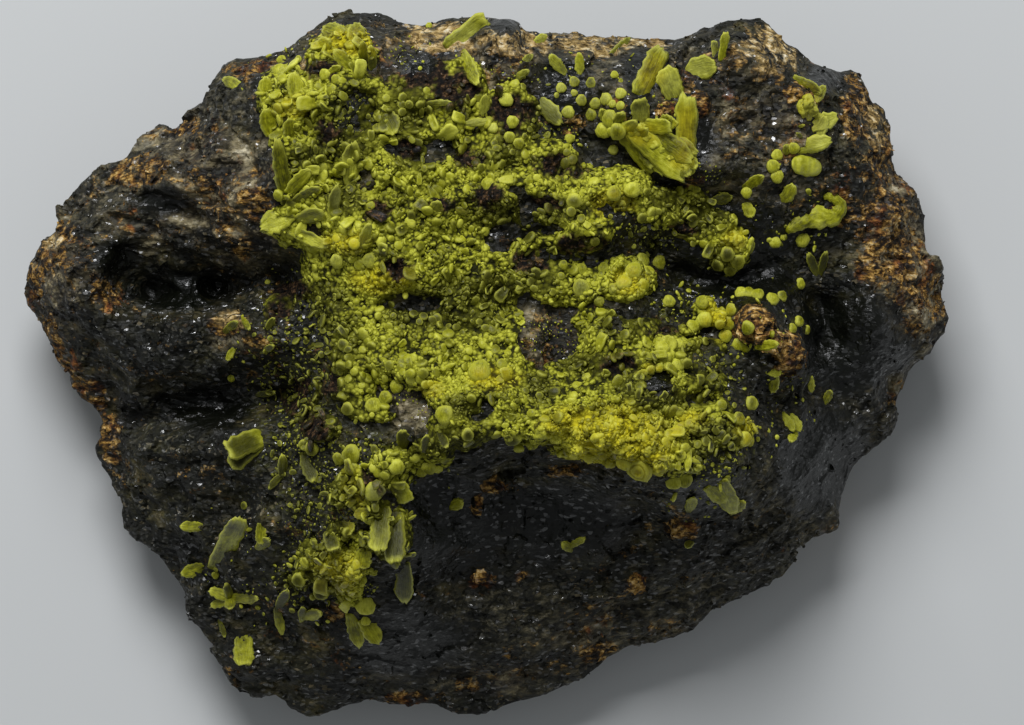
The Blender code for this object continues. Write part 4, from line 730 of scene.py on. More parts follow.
# Hollows in the crust: sunk, less grown over, and darkened with painted shade.
DEEP_PATCHES = [
    (-4.9, 9.6, 0.8, 1), (-2.2, 8.2, 1.5, 0.5), (1.6, 5.2, 1.5, 0.35), (-2.7, 2.4, 1.3, 0.4),
    (-0.2, -1.7, 0.6, 0.5), (-4, 11.4, 0.6, 0.4), (-7, 0.4, 1.2, 2.2), (-6.6, 5.2, 0.5, 0.3),
    (2.6, 4.2, 1.3, 0.3), (6.9, 4.9, 0.9, 0.3), (-5.9, -1.6, 0.6, 0.4), (6.2, 1.9, 0.6, 0.3),
    (-4.5, 7.1, 0.4, 0.5), (8.4, 0.2, 0.9, 0.7), (9.8, -1.3, 0.7, 0.6), (8.3, -1.3, 0.6, 0.3),
    (6.9, 1.8, 0.5, 0.5), (0.7, 4.8, 0.6, 0.5), (5.2, 1.6, 0.5, 0.4), (-3.3, -2.6, 0.6, 0.3),
    (0.7, -3, 0.8, 0.35), (-4, -3, 0.6, 0.4), (-3.6, -5.2, 0.4, 0.6),
]


# %% Crust: thickness
def crust_share(places, patches):
    """Above 0 where the crust lies, and 1 where it is thickest."""
    share = np.minimum(cover(places, patches), -2.0 * cover(places, CRUST_HOLES))
    flat = places * (1.0, 1.0, 0.0)
    return share + 0.3 * lumps(flat, 0.9, 5.0) + 0.22 * lumps(flat, 0.3, 6.0, 2)


def heads(places, size, layer):
    """Round tops: a dome on each Voronoi cell, 1 at its middle."""
    shift = Vector((0.0, 0.0, layer))
    near = np.array([noise.voronoi(Vector(p) / size + shift)[0][0] for p in places])
    return np.sqrt(np.clip(1.0 - (near / 0.75) ** 2, 0.0, 1.0))


def mounds(places):
    """Height in mm that the mounds add."""
    height = np.zeros(len(places))
    for x, y, radius in CRUST_MOUNDS:
        away = np.hypot(places[:, 0] - x, places[:, 1] - y) / radius
        height = np.maximum(height, MOUND_HEIGHT * radius * np.sqrt(np.clip(1.0 - away**2, 0.0, 1.0)))
    return height


# %% Crust: shape
def store_tints(mesh):
    """How bright, how olive and how pale the growth is at each point. The brightness is partly
    painted light, and the olive partly painted shade.
    """
    places, _ = mesh_arrays(mesh)
    wander = 0.35 * lumps(places, 0.8, 41.0) + 0.2 * lumps(places, 0.3, 43.0, 2)
    store(mesh, "glow", ramp(cover(places, YELLOW_AND_HIGHLIGHT_PATCHES) + wander, -0.5, 1.1))
    # Hollows count as olive too, and more strongly: painted shade.
    shaded = np.maximum(cover(places, OLIVE_AND_SHADE_PATCHES), 1.5 * cover(places, DEEP_PATCHES))
    store(mesh, "shade", ramp(shaded + wander, -0.6, 0.7))
    store(mesh, "pale", ramp(cover(places, PALE_PATCHES) + wander, -0.3, 1.2))


def make_crust(name, patches, tree):
    """A closed mesh: a top that follows the rock, the same grid again below it, and a wall between."""
    low = [min(row[i] - row[i + 2] for row in patches) - GRID_MARGIN for i in (0, 1)]
    high = [max(row[i] + row[i + 2] for row in patches) + GRID_MARGIN for i in (0, 1)]
    grid_x, grid_y = np.meshgrid(*(np.arange(a, b, CRUST_CELL) for a, b in zip(low, high)))
    places = np.column_stack([grid_x.ravel(), grid_y.ravel(), np.zeros(grid_x.size)])
    share = crust_share(places, patches)
    wanted = (share > DIVE_TO).reshape(grid_x.shape)
    cells = wanted[:-1, :-1] & wanted[1:, :-1] & wanted[:-1, 1:] & wanted[1:, 1:]
    number = np.arange(grid_x.size).reshape(grid_x.shape)
    quads = np.stack([number[:-1, :-1], number[:-1, 1:], number[1:, 1:], number[1:, :-1]], -1)[cells]
    used, quads = np.unique(quads, return_inverse=True)
    quads = quads.reshape(-1, 4)
    places, share = places[used], share[used]
    places[:, 2] = [ground_height(tree, x, y) for x, y, _ in places]
    inside = np.clip(share * 3.0, 0.0, 1.0)
    deep = ramp(cover(places, DEEP_PATCHES) + 0.4 * lumps(places, 0.5, 47.0), -0.6, 0.6)
    domes = heads(places, HEAD, 7.0)
    swells = SWELL_RELIEF * lumps(places, 1.4, 8.0)
    rise = EDGE_RISE + FULL_RISE * np.sqrt(np.clip(share, 0.0, 1.0)) + DIVE * np.clip(share, DIVE_TO, 0.0)
    rise += inside * (HEAD_RELIEF * (domes - 0.5) + swells + mounds(places) - HOLLOW_DEPTH * deep)
    top = places + np.column_stack([np.zeros((len(used), 2)), rise])
    bottom = places - (0.0, 0.0, CRUST_DEPTH)
    count = len(used)
    edges = np.concatenate([quads[:, [i, (i + 1) % 4]] for i in range(4)])
    _, first, uses = np.unique(np.sort(edges, axis=1), axis=0, return_index=True, return_counts=True)
    rim = edges[first[uses == 1]]
    walls = np.column_stack([rim[:, 1], rim[:, 0], rim[:, 0] + count, rim[:, 1] + count])
    faces = np.concatenate([quads, quads[:, ::-1] + count, walls])
    mesh = bpy.data.meshes.new(name)
    mesh.from_pydata(np.concatenate([top, bottom]) * MM, [], faces.tolist())
    mesh.update()
    mesh.shade_smooth()
    store_tints(mesh)
    ragged = 0.8 * lumps(places, 0.7, 45.0) + 0.7 * lumps(places, 0.28, 46.0, 2)
    bare = ramp(cover(places, BARE_PATCHES) + ragged, -0.3, 0.5)
    crowd = ramp(share, -0.02, 0.3) * (1.0 - 0.7 * bare) * (1.0 - 0.75 * deep)
    store(mesh, "crowd", np.concatenate([crowd, np.zeros(count)]))
    store(mesh, "bare", np.concatenate([bare, np.ones(count)]))
    # The head number also colours the crust: dark in crevices, bright on heads, as painted shade and
    # highlight.
    store(mesh, "head", np.concatenate([domes, np.zeros(count)]))
    store(mesh, "pale", np.zeros(2 * count))
    return mesh


rock_tree = ground_tree([rock_surface])
crusts = {}
for name, patches in CRUST_PATCHES.items():
    crusts[name] = make_crust(name + "_base", patches, rock_tree)
    print(name, triangles(crusts[name]), "triangles")
growth_tree = ground_tree([rock_surface, *crusts.values()])

# %% [markdown]
# ### Cejkaite, crust and crystals
# Cejkaite is a sodium uranyl carbonate. Its crystals are thin tabs and round buttons, translucent and
# waxy, yellow-green and olive, with a paler painted highlight on their rims. The crust between them
# is the same mineral in grains too fine to see one by one, dark where it is thin and lets the ore
# show through, and painted darker in the crevices between its heads as shade. Both take a tint from
# the patches above: yellow with painted light on the ledge, olive with painted shade in hollows.

# %% Material: cejkaite
GRANULE = 0.19          # mm between the crust's finest grains, each painted darker at its edge as shade
YELLOW_HIGHLIGHT = ("#463f04", "#dccf24")     # tints, from a crevice to a head; yellow, with painted light
# Dark olive, with painted shade.
OLIVE_SHADE = ("#191a05", "#5e5f10")
MILKY = ("#565810", "#d0d272")
# The crystals' rims get a paler painted highlight.
RIM_HIGHLIGHT_COLOUR = "#d9da58"
ORE_BELOW = [(0.4, "#08090a"), (0.55, "#2a1f15"), (0.68, "#775a3c")]


def make_cejkaite(name, height, stops, granules, **shader_inputs):
    """The mineral's finish. Height names the stored number that goes from a dark crevice to a bright
    head, as painted shade and highlight on the crust, and granules is how strongly the finest grains
    show, each painted darker at its edge as shade."""
    material, tree, shader = new_material(name, IOR=1.56, **shader_inputs)
    coordinates = add(tree, "ShaderNodeTexCoord")
    where = add(
        tree, "ShaderNodeVectorMath",
        {0: coordinates.outputs["Object"], "Scale": 1 / MM}, operation="SCALE",
    )
    tone, rim, glow, shade, pale, bare, along, across = (
        add(tree, "ShaderNodeAttribute", attribute_name=stored_name)
        for stored_name in (height, "rim", "glow", "shade", "pale", "bare", "along", "across")
    )
    grown = add(tree, "ShaderNodeCombineXYZ", {"X": across, "Y": along, "Z": tone})
    spread = add(tree, "ShaderNodeVectorMath", {0: grown, 1: (7.0, 1.6, 37.0)}, operation="MULTIPLY")
    cloudy, broad, streaks, bumps = (
        add(
            tree, "ShaderNodeTexNoise",
            {"Vector": at, "Scale": 1 / size, "Detail": finer, "Roughness": strength},
        )
        for at, size, finer, strength in (
            (where, 0.2, 4.0, 0.65), (where, 1.5, 2.0, 0.5), (spread, 1.0, 3.0, 0.6),
            (where, 0.08, 3.0, 0.65),
        )
    )
    cells = add(tree, "ShaderNodeTexVoronoi", {"Vector": where, "Scale": 1 / GRANULE, "Randomness": 1.0})
    # How bright each place is: its own tone, then streaks along a crystal, clouds in it and grains.
    # On the crust its tone is the head number: painted shade in crevices and highlight on heads.
    level = add(tree, "ShaderNodeMath", {0: tone, 1: 0.6, 2: -0.98}, operation="MULTIPLY_ADD")
    for part, amount in (
        (streaks, 0.7), (cloudy, 0.55), (broad, 1.15), (cells.outputs["Distance"], -granules),
    ):
        level = add(tree, "ShaderNodeMath", {0: part, 1: amount, 2: level}, operation="MULTIPLY_ADD")
    level = add(tree, "ShaderNodeMath", {0: level, 1: 0.45 * granules}, operation="ADD")
    # Yellow with painted light, olive with painted shade, and milky, each from dark to bright.
    bright, olive, milky = (
        add(tree, "ShaderNodeMix", {"Factor": level, "A": srgb(low), "B": srgb(high)}, data_type="RGBA")
        for low, high in (YELLOW_HIGHLIGHT, OLIVE_SHADE, MILKY)
    )
    ore = add(tree, "ShaderNodeValToRGB", {"Fac": cloudy}, ORE_BELOW)
    paler = add(tree, "ShaderNodeMath", {0: pale, 1: 0.5}, operation="MULTIPLY")
    # The rim mark brightens rims: a painted highlight.
    edge = add(tree, "ShaderNodeMath", {0: rim, 1: 0.75}, operation="MULTIPLY")
    colour = add(tree, "ShaderNodeValToRGB", {"Fac": level}, stops)
    # The painted light and the painted shade go over the tone, then the milky tint, the rims and the ore.
    for share, over in (
        (glow, bright), (shade, olive), (paler, milky), (edge, srgb(RIM_HIGHLIGHT_COLOUR)), (bare, ore),
    ):
        colour = add(tree, "ShaderNodeMix", {"Factor": share, "A": colour, "B": over}, data_type="RGBA")
    feed(tree, colour, shader.inputs["Base Color"])
    relief = add(tree, "ShaderNodeBump", {"Height": bumps, "Strength": 0.5, "Distance": 0.04 * MM})
    ridged = add(
        tree, "ShaderNodeBump",
        {"Height": streaks, "Strength": 0.5, "Distance": 0.06 * MM, "Normal": relief},
    )
    grained = add(
        tree, "ShaderNodeBump",
        {"Height": cells.outputs["Distance"], "Strength": min(1.0, granules), "Distance": 0.1 * MM,
         "Normal": ridged},
        invert=True,
    )
    feed(tree, grained, shader.inputs["Normal"])
    return material


# The crust's colours run from dark olive in crevices to pale yellow on heads: painted shade and highlight.
crust_material = make_cejkaite(
    "cejkaite_crust_fine_grained", "head",
    [(0.2, "#2a2b0b"), (0.42, "#646518"), (0.60, "#999a26"), (0.85, "#c2c344")], 1.1,
    Roughness=0.75, Specular_IOR_Level=0.12,
)
crystal_material = make_cejkaite(
    "cejkaite_crystals_waxy", "tone",
    [(0.10, "#3a3b06"), (0.34, "#71720d"), (0.58, "#a4a51f"), (0.85, "#d2d34c")], 0.15,
    Roughness=0.38, Specular_IOR_Level=0.15, Transmission_Weight=0.06, Subsurface_Weight=0.12,
    Subsurface_Radius=(0.2, 0.2, 0.03), Subsurface_Scale=MM,
)
for name, mesh in crusts.items():
    mesh.materials.append(crust_material)
    piece = place(name + "_ground", mesh)
    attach(piece, "root")
    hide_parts(name)

# %% [markdown]
# ## The larger crystals
# Each crystal that can be told apart has its own place: tabs and blades lean out of the ground from
# a root to a tip, buttons sit flat on it. A tab is lofted: rings of points, one behind the other,
# with a flat section that has fine ridges along it and ragged sides. A button is turned from a
# profile, low and round. A knob is turned too, but higher, and pushed out grain by grain, as crystals
# that grew into one lump are. A strand is a thick band along a run of places. All could be sculpted,
# but lofts keep each one at the size and place of the solid that it stands for.

# %% Larger crystals: where they grow, in mm
# Tabs and blades: root x, y, tip x, y, width, roll in degrees, rise of the tip, thickness.
TABLETS = {
    "crust_main": [
        (-5.37, 12.69, -6.19, 12.96, 0.78, 15, 0.23, 0.12),
        (-5.1, 12.45, -4.71, 13.07, 0.78, 15, 0.19, 0.12),
        (-6.58, 12.06, -5.88, 12.45, 0.62, 0, 0.19, 0.27),
        (-5.02, 11.29, -5.72, 12.06, 0.58, 20, 0.35, 0.12),
        (-4.25, 11.29, -4.33, 12.22, 0.47, 20, 0.39, 0.12),
        (-4.56, 11.37, -4.64, 12.38, 0.39, 15, 0.39, 0.12),
        (-8.36, 9.97, -8.36, 11.06, 0.58, 15, 0.23, 0.12), (-7.12, 9.97, -7.27, 11.21, 0.7, 15, 0.31, 0.12),
        (-8.13, 8.81, -8.36, 9.81, 0.78, 15, 0.23, 0.12), (-7.43, 8.65, -7.43, 9.43, 0.54, 15, 0.27, 0.12),
        (-3.86, 9.81, -3.39, 8.84, 0.85, 10, 0.35, 0.12), (-5.1, 6.87, -5.02, 8.5, 0.78, 10, 0.39, 0.12),
        (-7.58, 6.17, -7.89, 8.61, 0.62, 10, 0.47, 0.13), (-7.51, 6.56, -6.65, 7.49, 0.62, 25, 0.35, 0.12),
        (-7.27, 6.25, -6.27, 6.79, 0.54, 35, 0.35, 0.12), (-5.8, 5.47, -5.61, 6.87, 0.5, 20, 0.47, 0.12),
        (-7.27, 5.86, -8.52, 5.24, 1.01, 15, 0.35, 0.13), (-7.12, 5.55, -6.11, 5.86, 0.78, 35, 0.31, 0.16),
        (-0.83, 12.03, -0.21, 10.75, 0.62, 25, 0.35, 0.12), (0.02, 9.5, 0.06, 10.36, 0.47, 15, 0.27, 0.12),
        (-0.83, 9.23, 0.25, 9.35, 0.35, 0, 0.19, 0.12), (2.11, 10.16, 2.97, 9.27, 0.74, 15, 0.39, 0.16),
        (-4.71, 4.46, -4.33, 5.39, 0.47, 20, 0.39, 0.12), (7, 0.5, 7.16, 1.12, 0.78, 15, 0.23, 0.16),
        (7.86, -3.1, 7.78, -4.07, 0.31, 20, 0.23, 0.12), (-7.58, 5.24, -5.95, 4.54, 0.54, 15, 0.23, 0.12),
    ],
    "crust_lower_left": [
        (-3.86, -5.43, -4.02, -7.1, 0.85, 20, 0.35, 0.12),
        (-3.39, -5.55, -3.39, -7.56, 0.85, 15, 0.35, 0.12), (-5.95, -6.4, -5.72, -7.1, 0.58, 0, 0.31, 0.19),
        (-5.41, -6.01, -5.02, -6.4, 0.54, 10, 0.23, 0.13), (-4.56, -7.1, -4.71, -7.8, 0.7, 20, 0.27, 0.12),
        (-3.32, -4.46, -2.93, -5.24, 0.7, 15, 0.27, 0.16),
    ],
    "spray_top_right": [
        (5.37, 8.96, 6.61, 7.49, 0.85, 15, 0.27, 0.16), (5.61, 9.12, 7.7, 7.25, 0.93, 10, 0.31, 0.16),
        (6.07, 9.19, 7.16, 9.12, 0.62, 15, 0.23, 0.12), (6.07, 9.19, 5.95, 10.16, 0.74, 10, 0.31, 0.13),
        (7.78, 7.49, 7.78, 10.28, 0.85, 10, 0.54, 0.16), (7, 9.12, 7.31, 9.43, 0.54, 10, 0.19, 0.12),
    ],
    "leaf_pair": [
        (5.92, 10.32, 6.85, 12.14, 0.89, 15, 0.47, 0.13), (7.39, 10.24, 6.92, 11.37, 0.93, 15, 0.31, 0.12),
    ],
    "blade_top": [(-1.45, 12.14, 0.1, 13.31, 0.8, 15, 0.31, 0.16)],
    "splinter_top": [(4.87, 11.95, 5.64, 12.61, 0.31, 10, 0.23, 0.12)],
    "tablet_top": [(3.7, 11.13, 3.67, 11.99, 0.39, 10, 0.23, 0.12)],
    "leaf_top": [(3.16, 11.13, 2.54, 11.91, 0.47, 15, 0.23, 0.12)],
    "flake_hex": [(7.78, 11.29, 8.9, 11.52, 0.97, 5, 0.19, 0.12)],
    "stack_top_right": [
        (9.14, 11.68, 9.29, 12.76, 0.39, 25, 0.27, 0.12), (8.94, 11.72, 8.86, 12.45, 0.31, 20, 0.23, 0.12),
    ],
    "stack_right": [
        (11.89, 11.06, 12.98, 10.47, 0.5, 10, 0.23, 0.12),
        (12.74, 10.12, 13.13, 10.75, 0.43, 10, 0.23, 0.12), (12.43, 9.43, 12.5, 10.2, 0.62, 10, 0.19, 0.16),
        (12.59, 9.12, 13.6, 9.58, 0.66, 10, 0.27, 0.13), (12.05, 8.34, 13.36, 8.65, 0.7, 5, 0.31, 0.13),
        (12.9, 8.73, 13.13, 9.58, 0.54, 15, 0.23, 0.12),
    ],
    "tablets_right": [(9.99, 6.79, 10.73, 7.25, 0.43, 5, 0.19, 0.12)],
    "flake_right": [(11.5, 6.25, 11.93, 6.94, 0.54, 10, 0.19, 0.12)],
    "sprig_right": [
        (12.98, 3.45, 13.21, 4.38, 0.35, 15, 0.27, 0.12), (12.9, 3.45, 12.51, 4.31, 0.39, 15, 0.27, 0.12),
    ],
    "tablet_knob_right": [(10.45, 0.7, 11.27, 0.81, 0.43, 0, 0.23, 0.16)],
    "tablets_low_right": [
        (10.84, -0.23, 11.42, -0.31, 0.39, 0, 0.19, 0.12),
        (11.23, -0.35, 11.11, -1.05, 0.43, 5, 0.23, 0.13),
    ],
    "tablet_far_right": [(12.63, -0.43, 12.67, -1.05, 0.31, 0, 0.16, 0.12)],
    "grain_far_right": [(13.17, -1.51, 13.44, -0.97, 0.35, 0, 0.19, 0.13)],
    "cluster_low_right": [
        (11.5, -1.86, 11.97, -2.52, 0.43, 10, 0.27, 0.12),
        (11.81, -1.9, 12.24, -2.52, 0.43, 10, 0.27, 0.12),
        (12.05, -2.52, 11.81, -2.95, 0.39, 5, 0.23, 0.13),
    ],
    "flake_ledge_low": [
        (8.55, -4.62, 9.33, -5.24, 0.66, 10, 0.27, 0.13), (9.1, -4.38, 9.56, -5.7, 0.85, 15, 0.31, 0.13),
        (9.48, -5.7, 10.03, -5.24, 0.47, 10, 0.27, 0.12),
    ],
    "chip_hollow": [(-1.3, -5.47, -0.8, -5.24, 0.5, 5, 0.23, 0.19)],
    "tabs_hollow": [
        (3.43, -7.14, 3.01, -6.87, 0.39, 5, 0.19, 0.12), (3.28, -7.02, 3.9, -6.67, 0.31, 10, 0.23, 0.12),
    ],
    "fan_lower_left": [
        (-8.52, -2.75, -9.87, -3.3, 0.93, 10, 0.35, 0.13),
        (-8.59, -2.91, -9.76, -3.84, 0.78, 10, 0.35, 0.13),
    ],
    "blade_lower_left": [(-10.45, -7.91, -9.37, -5.94, 0.85, 10, 0.39, 0.13)],
    "tablet_left_dark": [(-10.84, -6.25, -11.73, -6.25, 0.47, 10, 0.19, 0.12)],
    "tablet_left_round": [(-10.84, -7.8, -11.77, -8.15, 0.54, 5, 0.23, 0.12)],
    "star_lower_left": [
        (-9.76, -9.08, -10.65, -8.73, 0.47, 10, 0.23, 0.12),
        (-9.83, -9.12, -9.99, -8.46, 0.39, 10, 0.27, 0.12),
        (-9.91, -8.96, -9.83, -9.47, 0.43, 5, 0.23, 0.12),
        (-9.91, -9.04, -8.75, -9.04, 0.47, 10, 0.23, 0.12),
    ],
    "tablet_bottom_left": [(-9.33, -10.51, -9.33, -11.64, 0.81, 10, 0.27, 0.13)],
    "tabs_lower_left": [
        (-8.01, -9.47, -7.58, -8.69, 0.43, 10, 0.27, 0.12),
        (-8.05, -9.35, -7.82, -10.44, 0.39, 10, 0.23, 0.12),
    ],
    "pair_bottom": [
        (-4.71, -9.81, -4.02, -10.75, 0.74, 10, 0.31, 0.16),
        (-5.18, -9.58, -4.79, -10.9, 0.66, 20, 0.23, 0.12),
    ],
    "cluster_left": [(-6.89, -3.38, -6.5, -4.46, 0.7, 10, 0.23, 0.12)],
    "tablet_ledge_left": [(-3.08, -3.18, -3.08, -2.48, 0.54, 5, 0.23, 0.16)],
    "chip_upper_left": [(-9.21, 10.59, -10.03, 11.06, 0.5, 10, 0.19, 0.12)],
}
# Buttons: x, y, radius.
BUTTONS = {
    "crust_main": [
        (3.74, 2.95, 0.37), (0.87, 10.16, 0.27), (1.34, 8.5, 0.23), (5.37, 6.32, 0.27), (6.07, 4, 0.31),
        (-5.1, 4.46, 0.31), (-3.32, -0.81, 0.27), (-4.21, -1.55, 0.31), (-1.77, -1.05, 0.54),
        (1.11, -2.75, 0.35), (4.13, -2.33, 0.47), (4.71, -2.75, 0.47), (5.37, -3.72, 0.31),
        (5.99, -3.88, 0.58), (6.46, -2.91, 0.47), (6.07, -2.33, 0.47), (2.97, -1.82, 0.39),
        (8.01, -2.33, 0.35), (8.98, -2.13, 0.31), (9.25, 4.97, 0.43), (9.6, -2.83, 0.35),
        (9.45, -0.27, 0.35), (8.86, -0.78, 0.47), (-0.6, -2.64, 0.27), (9.99, -2.83, 0.31),
    ],
    "crust_lower_left": [
        (-5.06, -3.41, 0.39), (-5.53, -3.57, 0.27), (-5.06, -3.92, 0.31), (-4.21, -4.85, 0.39),
        (-3.63, -3.61, 0.39), (-3.32, -3.88, 0.31), (-5.1, -8.15, 0.39), (-5.37, -7.56, 0.39),
        (-6.27, -8.73, 0.35), (-7.12, -8.26, 0.31), (-4.56, -9.27, 0.39),
    ],
    "crust_knob_left": [(8.4, 2.41, 0.27), (8.48, 1.75, 0.31), (8.01, 1.47, 0.27)],
    "spray_top_right": [(4.87, 9.43, 0.35), (4.6, 9, 0.31), (5.14, 8.96, 0.35)],
    "button_row_top": [(4.29, 10.05, 0.23), (4.13, 9.62, 0.25), (4.71, 10.2, 0.25)],
    "button_top_a": [(3.47, 10.86, 0.23)],
    "button_top_b": [(4.13, 10.82, 0.23)],
    "button_top_d": [(3.24, 9.7, 0.25)],
    "stack_right": [(12.28, 9.97, 0.27), (12.59, 9.81, 0.27)],
    "bean_right": [(12.16, 7.68, 0.43), (12.55, 7.64, 0.43)],
    "beads_right": [(11.93, 8.34, 0.23), (11.62, 8.3, 0.23), (11.27, 8.07, 0.23)],
    "cluster_right": [(11.11, 7.64, 0.27), (11.27, 7.25, 0.27)],
    "tablets_right": [(10.11, 6.63, 0.23)],
    "rosette_right": [
        (11.73, 5.2, 0.31), (12.24, 5.43, 0.39), (12.86, 5.7, 0.43), (13.48, 5.94, 0.43),
        (13.48, 6.44, 0.31), (12.28, 4.85, 0.31),
    ],
    "button_right": [(11.23, 4.73, 0.23)],
    "button_right_low": [(12.2, 3.14, 0.23)],
    "beans_knob": [(9.91, 2.75, 0.27), (10.18, 2.75, 0.27), (10.53, 2.68, 0.27)],
    "tablets_knob_left": [(9.52, 2.13, 0.25), (9.41, 1.63, 0.31), (9.29, 1.12, 0.27)],
    "button_knob": [(10.14, 1.44, 0.29)],
    "oval_knob_low": [(9.8, 0.78, 0.27), (10.07, 0.7, 0.23)],
    "ring_knob": [(11.85, 1.4, 0.21), (12.12, 1.67, 0.23), (12.43, 1.36, 0.19)],
    "button_mid": [(6.73, 3.96, 0.29)],
    "button_low_right": [(10.26, -1.47, 0.29)],
    "cluster_ledge_low": [(7.27, -4.46, 0.31), (7.7, -4.38, 0.31)],
    "cluster_left": [(-6.58, -3.18, 0.31), (-6.89, -3.06, 0.23)],
}
# Crystals too small or too close for solids of their own.
SMALL_TABLETS = [
    (1.96, 12.41, 2.42, 12.69, 0.39, 10, 0.16, 0.12), (6.27, 9.04, 6.92, 7.33, 0.78, 10, 0.35, 0.16),
    (6.46, 8.96, 8.01, 7.84, 0.85, 8, 0.39, 0.16), (5.99, 8.81, 6.46, 7.56, 0.66, 10, 0.27, 0.16),
    (6.54, 8.81, 8.2, 8.15, 0.7, 5, 0.31, 0.16), (6.77, 9.27, 7.16, 9.5, 0.47, 10, 0.23, 0.12),
    (7.47, 7.95, 7.86, 7.25, 0.54, 10, 0.35, 0.16), (7.78, 8.03, 8.17, 7.56, 0.47, 10, 0.35, 0.16),
    (4.98, 9.19, 5.37, 9.66, 0.47, 20, 0.27, 0.19), (5.37, 8.96, 5.84, 9.35, 0.47, 20, 0.31, 0.19),
    (5.8, 8.73, 6.27, 9.04, 0.43, 10, 0.35, 0.19), (4.67, 9.35, 4.52, 9.81, 0.39, 10, 0.23, 0.16),
    (-7.58, 11.21, -8.17, 11.44, 0.43, 10, 0.19, 0.12),
    (-10.3, -9.89, -10.07, -10.59, 0.23, 10, 0.19, 0.12), (10.03, 6.25, 10.34, 5.7, 0.5, 10, 0.19, 0.12),
    (7.86, -5.62, 8.05, -5.08, 0.47, 10, 0.19, 0.12), (-8.59, -6.09, -8.59, -6.91, 0.5, 15, 0.23, 0.12),
    (-7.74, -4.38, -7.74, -3.45, 0.43, 10, 0.23, 0.12), (-7.74, -4.15, -8.28, -4.77, 0.31, 10, 0.19, 0.12),
    (-7.04, -9.93, -7, -9.35, 0.35, 5, 0.19, 0.12), (-7.04, -9.74, -6.27, -9.58, 0.47, 5, 0.23, 0.16),
    (1.11, 10.9, 1.73, 11.29, 0.35, 10, 0.19, 0.12), (-2.27, 10.01, -1.22, 10.05, 0.27, 10, 0.19, 0.12),
    (-2, 5.78, -1.69, 6.25, 0.54, 20, 0.23, 0.12), (6.65, -0.27, 5.76, -0.5, 0.47, 10, 0.19, 0.16),
    (-4.33, -5.55, -4.95, -5.78, 0.47, 10, 0.23, 0.16), (-9.76, -9.08, -10.61, -9.35, 0.39, 10, 0.23, 0.12),
    (-8.75, -7.1, -8.28, -6.71, 0.47, 10, 0.23, 0.12), (8.79, 6.32, 9.56, 6.48, 0.47, 10, 0.19, 0.12),
    (-1.69, -2.52, -1.38, -3.14, 0.39, 10, 0.23, 0.12), (-2.27, -3.3, -2.15, -2.68, 0.39, 10, 0.23, 0.12),
    (-5.95, 11.13, -5.49, 11.44, 0.35, 10, 0.19, 0.12), (-9.99, 1.28, -9.45, 1.67, 0.35, 10, 0.19, 0.12),
    (-8.59, 0.5, -8.05, 0.74, 0.31, 10, 0.19, 0.12), (-9.29, 1.82, -8.98, 1.36, 0.27, 10, 0.19, 0.12),
    (-8.83, -1.16, -8.05, -1.05, 0.31, 5, 0.16, 0.12), (-8.36, 1.36, -8.05, 1.82, 0.31, 10, 0.19, 0.12),
    (-9.6, 0.66, -9.91, 0.19, 0.31, 10, 0.19, 0.12), (8.09, -6.79, 7.78, -7.02, 0.31, 10, 0.16, 0.12),
    (2.97, 11.37, 2.58, 11.91, 0.35, 10, 0.19, 0.12), (1.42, 11.52, 1.88, 11.91, 0.31, 10, 0.19, 0.12),
    (-3.05, -7.56, -3.08, -9.12, 0.78, 10, 0.27, 0.12),
]
